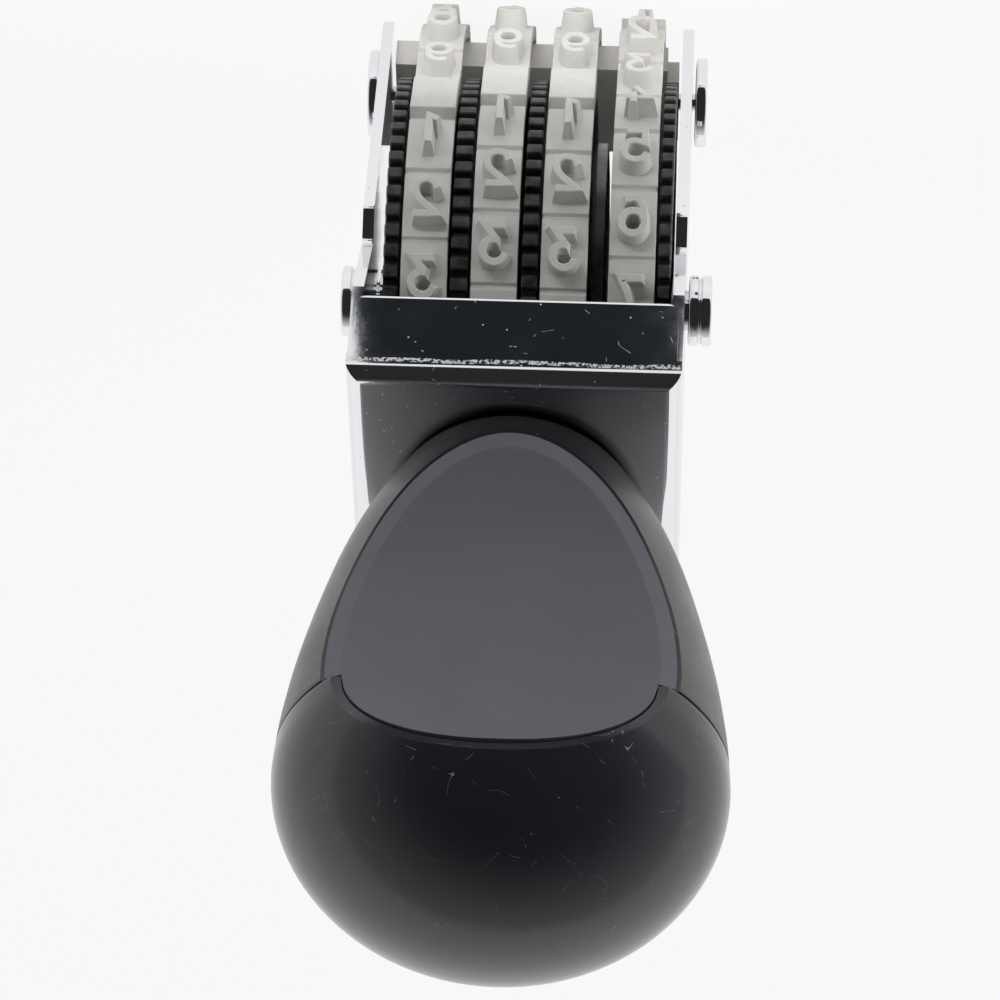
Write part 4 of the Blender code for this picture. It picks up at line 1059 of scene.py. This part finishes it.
class Look:
    """A material under construction, with short calls for its nodes."""

    def __init__(self, name, base, roughness, metallic=0.0):
        self.material = bpy.data.materials.new(name)
        self.material.use_nodes = True
        self.tree = self.material.node_tree
        self.shader = self.tree.nodes["Principled BSDF"]
        self.shader.inputs["Base Color"].default_value = (*base, 1.0)
        self.shader.inputs["Roughness"].default_value = roughness
        self.shader.inputs["Metallic"].default_value = metallic
        self.material.diffuse_color = (*base, 1.0)
        self.where = self.node("ShaderNodeTexCoord").outputs["Object"]

    def node(self, kind, inputs=(), **settings):
        return add_node(self.tree, kind, inputs, **settings)

    def math(self, operation, a, b=0.0):
        made = self.node("ShaderNodeMath", {0: a, 1: b}, operation=operation)
        return made.outputs[0]

    def noise(self, size, detail=3.0, roughness=0.5, where=None):
        made = self.node("ShaderNodeTexNoise", {
            "Vector": where or self.where, "Scale": 1.0 / size, "Detail": detail, "Roughness": roughness})
        return made.outputs["Fac"]

    def stretched(self, turn, stretch):
        """Object coordinates turned and stretched, for marks that run one way."""
        made = self.node("ShaderNodeMapping", {"Vector": self.where, "Rotation": turn, "Scale": stretch})
        return made.outputs[0]

    def between(self, value, low, high, to_low=0.0, to_high=1.0):
        made = self.node("ShaderNodeMapRange", {
            "Value": value, "From Min": low, "From Max": high, "To Min": to_low, "To Max": to_high})
        return made.outputs[0]

    def mix(self, share, first, second):
        """Colour mix; plain tuples are colours."""
        ends = [end if isinstance(end, bpy.types.NodeSocket) else (*end[:3], 1.0) for end in (first, second)]
        return self.node("ShaderNodeMix", {0: share, 6: ends[0], 7: ends[1]}, data_type="RGBA").outputs[2]

    def hairs(self, size, width, patch, cover):
        """Thin curly marks: narrow bands of a slow noise, kept in patches."""
        line = self.math("ABSOLUTE", self.math("SUBTRACT", self.noise(size, 1.0), 0.5))
        thin = self.between(line, width, width * 0.3)
        kept = self.between(self.noise(patch, 2.0), 1.0 - cover, 1.0 - cover + 0.03)
        return self.math("MULTIPLY", thin, kept)

    def specks(self, size, share, radius):
        """Scattered dots: near the middles of a share of the cells."""
        cells = self.node("ShaderNodeTexVoronoi", {"Vector": self.where, "Scale": 1.0 / size})
        near = self.between(cells.outputs["Distance"], radius, radius * 0.6)
        split = self.node("ShaderNodeSeparateColor", {"Color": cells.outputs["Color"]})
        kept = self.math("LESS_THAN", split.outputs[0], share)
        return self.math("MULTIPLY", near, kept)

    def into(self, socket, value):
        self.tree.links.new(value, self.shader.inputs[socket])

    def bump(self, height, distance, strength=1.0):
        made = self.node("ShaderNodeBump", {"Height": height, "Distance": distance, "Strength": strength})
        self.into("Normal", made.outputs[0])


def worn_row(look, f):
    """Rough white specks in a thin row where the front flange leaves its bend."""
    parts = look.node("ShaderNodeSeparateXYZ", {"Vector": look.where})
    drift = look.between(look.noise(f.bend * 3, 1.0), 0.3, 0.7, -f.edge, f.edge)
    height = f.axle_height + f.top - f.bend * 1.15
    off = look.math("SUBTRACT", look.math("ADD", parts.outputs[2], drift), height)
    row = look.between(look.math("ABSOLUTE", off), f.edge * 1.6, f.edge * 0.7)
    before = look.math("LESS_THAN", parts.outputs[1], f.sheet - f.front)
    spread = look.between(look.noise(f.edge * 2.2, 3.0, 0.7), 0.5, 0.56)
    return look.math("MULTIPLY", look.math("MULTIPLY", row, before), spread)


def plated_look(name, tint, c, f=None):
    """Bright plating with smears, fine scratches and dust, and a worn row if a frame is given."""
    look = Look(name, tint, 0.1, 1.0)
    smear = look.noise(PLATING["smear"], 4.0, 0.6)
    fine = look.noise(PLATING["brush"], 2.0, 0.5, look.stretched((0.2, 0.4, 0.6), (1.0, 12.0, 1.0)))
    hairs = look.hairs(PLATING["hair"], 0.002, PLATING["patch"], 0.36)
    dust = look.specks(PLATING["dust"], 0.14, 0.11)
    if f:
        dust = look.math("MAXIMUM", dust, worn_row(look, f))
    marks = look.math("MAXIMUM", hairs, dust)
    rough = look.math("ADD", look.between(smear, 0.35, 0.7, 0.03, 0.10),
                      look.between(fine, 0.4, 0.8, 0.0, 0.03))
    look.into("Roughness", look.math("MAXIMUM", rough, look.between(marks, 0.0, 1.0, 0.0, 0.5)))
    look.into("Base Color", look.mix(look.math("MULTIPLY", dust, 0.7), tint, c.dust))
    look.into("Metallic", look.between(dust, 0.0, 1.0, 1.0, 0.35))
    look.bump(look.math("SUBTRACT", look.math("MULTIPLY", smear, 0.5), marks), PLATING["bump"])
    return look.material


def plastic_look(name, base, c):
    """Moulded plastic with grain, hair scratches and dust."""
    roughness, grain, hair_share, dust_share = PLASTICS[name]
    look = Look(name, base, roughness)
    soft = look.noise(PLASTIC["smear"], 4.0, 0.55)
    fine = look.noise(grain, 2.0, 0.5)
    hairs = look.hairs(PLASTIC["hair"], 0.0013, PLASTIC["patch"], hair_share)
    dust = look.specks(PLASTIC["dust"], dust_share, 0.07)
    marks = look.math("MAXIMUM", hairs, dust)
    rough = look.math("ADD", look.between(soft, 0.3, 0.7, roughness * 0.85, roughness * 1.25),
                      look.between(fine, 0.3, 0.7, -0.02, 0.03))
    look.into("Roughness", look.math("MAXIMUM", rough, look.between(marks, 0.0, 1.0, 0.0, 0.6)))
    look.into("Base Color", look.mix(look.math("MULTIPLY", marks, 0.35), base, c.dust))
    look.bump(look.math("ADD", fine, look.math("MULTIPLY", marks, -0.5)), PLASTIC["bump"])
    return look


def rubber_look(name, c):
    """Pale rubber: mottled, faintly inked in scattered patches, with a dull grain."""
    look = Look(name, c.rubber, 0.62)
    mottle = look.noise(RUBBER["mottle"], 5.0, 0.6)
    fine = look.noise(RUBBER["grain"], 3.0, 0.6)
    stain = look.between(look.noise(RUBBER["stain"], 4.0, 0.65), 0.58, 0.74)
    tone = look.mix(look.math("MULTIPLY", look.between(mottle, 0.35, 0.7), 0.35), c.rubber, c.rubber_dark)
    look.into("Base Color", look.mix(look.math("MULTIPLY", stain, 0.25), tone, c.rubber_dark))
    look.into("Roughness", look.between(mottle, 0.3, 0.7, 0.5, 0.72))
    look.bump(look.math("ADD", look.math("MULTIPLY", fine, 0.5), mottle), RUBBER["bump"])
    return look.material


def wheel_look(name, c, s, axle_height):
    """Black plastic that is worn pale at the tips of the teeth."""
    look = Look(name, c.wheel, 0.42)
    parts = look.node("ShaderNodeSeparateXYZ", {"Vector": look.where})
    up = look.math("SUBTRACT", parts.outputs[2], axle_height)
    out = look.math("SQRT", look.math("ADD", look.math("MULTIPLY", up, up),
                                      look.math("MULTIPLY", parts.outputs[1], parts.outputs[1])))
    tip = look.between(out, s.rim_radius - s.tooth_depth * 0.35, s.rim_radius)
    patch = look.between(look.noise(WHEEL["worn"], 4.0, 0.6), 0.35, 0.65)
    worn = look.math("MULTIPLY", tip, patch)
    look.into("Base Color", look.mix(worn, c.wheel, c.wheel_worn))
    look.into("Roughness", look.between(look.noise(WHEEL["mottle"], 3.0), 0.3, 0.7, 0.34, 0.55))
    look.bump(look.noise(WHEEL["grain"], 3.0), WHEEL["bump"])
    return look.material


def anvil_look(name, c):
    look = Look(name, c.anvil, 0.45)
    mottle = look.noise(ANVIL["mottle"], 4.0, 0.6)
    look.into("Base Color", look.mix(look.between(mottle, 0.4, 0.8, 0.0, 0.3), c.anvil, c.rubber_dark))
    look.into("Roughness", look.between(mottle, 0.3, 0.7, 0.36, 0.55))
    look.bump(look.noise(ANVIL["grain"], 3.0), ANVIL["bump"])
    return look.material


def divider_look(name, c, s, axle_height):
    """Grey plate with painted light and shade: darker among the bands as painted shade, lighter towards its
    lower end as painted light.
    """
    look = Look(name, c.divider, 0.3)
    smear = look.noise(DIVIDER["smear"], 4.0, 0.6)
    parts = look.node("ShaderNodeSeparateXYZ", {"Vector": look.where})
    drift = look.between(smear, 0.3, 0.7, -DIVIDER["drift"], DIVIDER["drift"])
    height = look.math("ADD", parts.outputs[2], drift)
    # Painted shade: above its lower end the plate takes the darker colour, standing in for the shade among
    # the bands; its lower end keeps the lighter colour as painted light.
    painted_shade = look.between(height, axle_height - s.divider_drop * 0.6, axle_height + s.divider_drop * 0.35)
    tone = look.mix(painted_shade, c.divider, c.divider_painted_shade)
    look.into("Base Color", look.mix(look.between(smear, 0.45, 0.8, 0.0, 0.3), tone, c.wheel_worn))
    look.into("Roughness", look.between(smear, 0.3, 0.7, 0.22, 0.42))
    look.bump(look.noise(DIVIDER["grain"], 3.0), DIVIDER["bump"])
    return look.material


# Operators


class Builder:
    """What the operators share: each builds its pieces from the scene's sizes and colours."""

    def execute(self, context):
        self.build(context.scene)
        return {"FINISHED"}


class STAMP_OT_frame(Builder, bpy.types.Operator):
    """Build the bent sheet frame"""

    bl_idname = "stamp.frame"
    bl_label = "Build frame"

    def build(self, scene):
        look = plated_look("frame", scene.stamp_colours.chrome, scene.stamp_colours, scene.stamp_frame)
        placed(frame_shape(scene.stamp_frame), "stamp", ["frame"], look)


class STAMP_OT_heads(Builder, bpy.types.Operator):
    """Build the axle, the anvil pin, their round heads and the hub spacers"""

    bl_idname = "stamp.heads"
    bl_label = "Build heads"

    def build(self, scene):
        s, c = scene.stamp_frame, scene.stamp_colours
        heads = (("axle_cap_", s.cap_radius, s.cap_reach, 0.0, s.cap_groove, s.cap_dish),
                 ("anvil_pin_head_", s.head_radius, s.head_reach, s.pin_drop, 0.0, 0.0))
        for side, word in ((1, "left"), (-1, "right")):
            for start, *sizes in heads:
                node = start + word
                made = head_shape(node + "_look", side, s, *sizes)
                placed(made, "stamp", [node], plated_look(node, c.chrome, c))
            node = "hub_spacer_" + word
            low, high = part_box(node)
            made = smooth(rod(node + "_look", low[0], high[0], s.spacer_radius), METAL_CREASE)
            placed(made, "stamp", [node], plated_look(node, c.steel, c))
        reach = s.half_width + s.cap_reach - s.sheet
        made = smooth(rod("wheel_axle_look", -reach, reach, s.axle_radius), METAL_CREASE)
        placed(made, "stamp", ["wheel_axle"], plated_look("wheel_axle", c.steel, c))
        reach = s.half_width + s.head_reach - s.sheet * 0.7
        pin = rod("anvil_pin_look", -reach, reach, s.pin_radius, BORE_STEPS, (0.0, -s.pin_drop))
        placed(smooth(pin, METAL_CREASE), "stamp", ["anvil_pin"], plated_look("anvil_pin", c.steel, c))


class STAMP_OT_wheels(Builder, bpy.types.Operator):
    """Build the toothed number wheels"""

    bl_idname = "stamp.wheels"
    bl_label = "Build wheels"

    def build(self, scene):
        s, f, c = scene.stamp_bands, scene.stamp_frame, scene.stamp_colours
        for index in range(len(WHEELS)):
            node = "number_wheel_" + str(index + 1)
            made = wheel_shape(index, s, f)
            placed(made, "wheel_" + str(index + 1), [node], wheel_look(node, c, s, f.axle_height))


class STAMP_OT_bands(Builder, bpy.types.Operator):
    """Build the rubber bands with their raised digits"""

    bl_idname = "stamp.bands"
    bl_label = "Build bands"

    def build(self, scene):
        track = Track(scene.stamp_bands)
        for index in range(len(BANDS)):
            node = "number_band_" + str(index + 1)
            made = band_shape(index, scene.stamp_bands, track)
            placed(made, "stamp", [node], rubber_look(node, scene.stamp_colours))


class STAMP_OT_anvil(Builder, bpy.types.Operator):
    """Build the anvil bar and the divider plate"""

    bl_idname = "stamp.anvil"
    bl_label = "Build anvil"

    def build(self, scene):
        s, f, c = scene.stamp_bands, scene.stamp_frame, scene.stamp_colours
        placed(anvil_shape(s, f), "stamp", ["anvil_bar"], anvil_look("anvil_bar", c))
        look = divider_look("divider_plate", c, s, f.axle_height)
        placed(divider_shape(s, f), "stamp", ["divider_plate"], look)


class STAMP_OT_handle(Builder, bpy.types.Operator):
    """Build the handle's body, its cap, the label and the screw"""

    bl_idname = "stamp.handle"
    bl_label = "Build handle"

    def build(self, scene):
        h, c = scene.stamp_handle, scene.stamp_colours
        body = plastic_look("handle_body", c.body, c)
        body.shader.inputs["Specular IOR Level"].default_value = BODY_SHINE
        placed(handle_body_shape(h), "stamp", ["handle_body"], body.material)
        placed(handle_cap_shape(h), "stamp", ["handle_cap"], plastic_look("handle_cap", c.cap, c).material)
        placed(label_shape(h), "stamp", ["label_plate"], plastic_look("label_plate", c.label, c).material)
        socket = h.screw_low + h.socket_depth
        profile = ((socket, 0.0), (socket, h.socket_radius), (h.screw_low, h.socket_radius),
                   (h.screw_low, h.screw_head), (h.screw_seat, h.screw_radius),
                   (h.screw_top, h.screw_radius), (h.screw_top, 0.0))
        screw = smooth(turned("handle_screw_look", profile, BORE_STEPS, axis="Z"), METAL_CREASE)
        placed(screw, "stamp", ["handle_screw"], plated_look("handle_screw", c.steel, c))


def show_white(tree, shader, share):
    """Mix a shader with plain white for rays that come from the camera, metal or glass."""
    path = add_node(tree, "ShaderNodeLightPath").outputs
    seen = path["Is Camera Ray"]
    for kind in ("Is Glossy Ray", "Is Transmission Ray"):
        seen = add_node(tree, "ShaderNodeMath", {0: seen, 1: path[kind]}, operation="MAXIMUM").outputs[0]
    part = add_node(tree, "ShaderNodeMath", {0: seen, 1: share}, operation="MULTIPLY").outputs[0]
    white = add_node(tree, "ShaderNodeEmission" if share < 1 else "ShaderNodeBackground",
                     {"Color": (1.0, 1.0, 1.0, 1.0), "Strength": 1.0}).outputs[0]
    return add_node(tree, "ShaderNodeMixShader", {0: part, 1: shader, 2: white}).outputs[0]


def floor_look(c, s):
    """Pale floor that shows white to the camera and keeps part of its shadows."""
    look = Look("floor", c.floor, 0.9)
    look.shader.inputs["Specular IOR Level"].default_value = 0.0
    mixed = show_white(look.tree, look.shader.outputs[0], s.floor_white)
    look.tree.links.new(mixed, look.tree.nodes["Material Output"].inputs["Surface"])
    return look.material


def build_world(s):
    world = bpy.data.worlds.new("studio")
    bpy.context.scene.world = world
    world.use_nodes = True
    tree = world.node_tree
    back = tree.nodes["Background"]
    back.inputs["Color"].default_value = (1.0, 1.0, 1.0, 1.0)
    back.inputs["Strength"].default_value = s.world_level
    mixed = show_white(tree, back.outputs[0], 1.0)
    tree.links.new(mixed, tree.nodes["World Output"].inputs["Surface"])


def lamp(name, place, aim, size, watts):
    """A rectangular lamp that glossy surfaces don't mirror."""
    data = bpy.data.lights.new(name, "AREA")
    data.shape = "RECTANGLE"
    data.size, data.size_y = size
    data.energy = watts
    made = bpy.data.objects.new(name, data)
    made.location = place
    made.rotation_euler = (Vector(aim) - Vector(place)).to_track_quat("-Z", "Y").to_euler()
    made.visible_glossy = False
    bpy.context.scene.collection.objects.link(made)


def flag(name, mesh_data, material):
    """A dark studio flag, which the camera and the lamps' shadows don't see."""
    data = bpy.data.meshes.new(name)
    mesh_data.to_mesh(data)
    mesh_data.free()
    data.materials.append(material)
    made = bpy.data.objects.new(name, data)
    bpy.context.scene.collection.objects.link(made)
    for kind in ("camera", "transmission", "volume_scatter", "shadow"):
        setattr(made, "visible_" + kind, False)
    return made


def room_look(s, axis, centre):
    """Dark in the middle of the room and light towards its rim."""
    look = Look("dark_room", (0.0, 0.0, 0.0), 1.0)
    look.shader.inputs["Specular IOR Level"].default_value = 0.0
    out = look.node("ShaderNodeVectorMath", {0: look.where, 1: tuple(centre)}, operation="SUBTRACT")
    way = look.node("ShaderNodeVectorMath", {0: out.outputs[0]}, operation="NORMALIZE")
    near = look.node("ShaderNodeVectorMath", {0: way.outputs[0], 1: tuple(axis)}, operation="DOT_PRODUCT")
    level = look.node("ShaderNodeMapRange", {
        "Value": near.outputs["Value"], "From Min": math.cos(math.radians(s.dome_spread_deg)),
        "From Max": math.cos(math.radians(s.dome_dark_deg)), "To Min": s.dome_rim, "To Max": s.dome_level},
        interpolation_type="SMOOTHSTEP")
    look.shader.inputs["Emission Color"].default_value = (1.0, 1.0, 1.0, 1.0)
    look.into("Emission Strength", level.outputs[0])
    return look.material


def dark_dome(s):
    """The dark room on the camera's side: part of a ball round the stamp, above the floor."""
    tilt, turn = math.radians(s.dome_tilt_deg), math.radians(s.dome_turn_deg)
    axis = Vector((-math.cos(tilt) * math.sin(turn), -math.cos(tilt) * math.cos(turn), math.sin(tilt)))
    centre = Vector((0.0, 0.0, s.target_z))
    mesh = bmesh.new()
    bmesh.ops.create_icosphere(mesh, subdivisions=6, radius=s.dome_radius, matrix=Matrix.Translation(centre))
    limit = math.cos(math.radians(s.dome_spread_deg))
    outside = [spot for spot in mesh.verts if (spot.co - centre).normalized().dot(axis) < limit]
    bmesh.ops.delete(mesh, geom=outside, context="VERTS")
    for spot in mesh.verts:
        spot.co.z = max(spot.co.z, s.dome_foot)
    return flag("dark_room", mesh, room_look(s, axis, centre))


def dark_card(s):
    """A small dark card on the floor before the stamp, which only the flange mirrors."""
    mesh = bmesh.new()
    corners = ((s.card_low, s.card_near), (s.card_high, s.card_near), (s.card_high, s.card_far),
               (s.card_low, s.card_far))
    mesh.faces.new([mesh.verts.new((x, y, s.card_height)) for x, y in corners])
    made = flag("dark_card", mesh, Look("dark_card", bpy.context.scene.stamp_colours.card, 1.0).material)
    made.visible_diffuse = False
    return made


class STAMP_OT_stage(Builder, bpy.types.Operator):
    """Build the floor, the lamps, the world and the camera"""

    bl_idname = "stamp.stage"
    bl_label = "Build stage"

    def build(self, scene):
        s = scene.stamp_stage
        mesh = bmesh.new()
        bmesh.ops.create_grid(mesh, x_segments=1, y_segments=1, size=s.floor_half)
        data = bpy.data.meshes.new("floor")
        mesh.to_mesh(data)
        mesh.free()
        floor = bpy.data.objects.new("floor", data)
        data.materials.append(floor_look(scene.stamp_colours, s))
        scene.collection.objects.link(floor)
        build_world(s)
        dark_dome(s)
        dark_card(s)
        for name, place, aim, size in LAMPS:
            lamp(name + "_box", place, aim, size, getattr(s, name + "_watts"))
        data = bpy.data.cameras.new("camera")
        data.lens = s.lens_mm
        data.sensor_width = s.sensor_mm
        data.clip_start = 0.01
        camera = bpy.data.objects.new("camera", data)
        camera.location = (s.camera_x, s.camera_y, s.camera_z)
        camera.rotation_euler = [math.radians(a) for a in (s.tilt_deg, s.lean_deg, s.spin_deg)]
        scene.collection.objects.link(camera)
        scene.camera = camera
        scene.view_settings.view_transform = "Standard"


class STAMP_PT_panel(bpy.types.Panel):
    """Buttons that build the stamp"""

    bl_idname = "STAMP_PT_panel"
    bl_label = "Roller stamp"
    bl_space_type = "VIEW_3D"
    bl_region_type = "UI"
    bl_category = "Stamp"

    def draw(self, context):
        for operator in OPERATORS:
            self.layout.operator(operator.bl_idname)
        for key in GROUPS:
            group = getattr(context.scene, key)
            for name in group.bl_rna.properties.keys():
                if name not in ("rna_type", "name"):
                    self.layout.prop(group, name, text=name.replace("_", " ").capitalize())


OPERATORS = (STAMP_OT_frame, STAMP_OT_heads, STAMP_OT_wheels, STAMP_OT_bands, STAMP_OT_anvil,
             STAMP_OT_handle, STAMP_OT_stage)
GROUPS = {"stamp_frame": StampFrameSizes, "stamp_bands": StampBandSizes, "stamp_handle": StampHandleSizes,
          "stamp_stage": StampStageSizes, "stamp_colours": StampColours}


def register():
    for key, group in GROUPS.items():
        bpy.utils.register_class(group)
        setattr(bpy.types.Scene, key, PointerProperty(type=group))
    for made in (*OPERATORS, STAMP_PT_panel):
        bpy.utils.register_class(made)


def unregister():
    for made in reversed((*OPERATORS, STAMP_PT_panel)):
        bpy.utils.unregister_class(made)
    for key, group in reversed(GROUPS.items()):
        delattr(bpy.types.Scene, key)
        bpy.utils.unregister_class(group)


def main():
    register()
    bpy.ops.stamp.frame()
    bpy.ops.stamp.heads()
    bpy.ops.stamp.wheels()
    bpy.ops.stamp.bands()
    bpy.ops.stamp.anvil()
    bpy.ops.stamp.handle()
    bpy.ops.stamp.stage()
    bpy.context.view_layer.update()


if __name__ == "__main__":
    main()
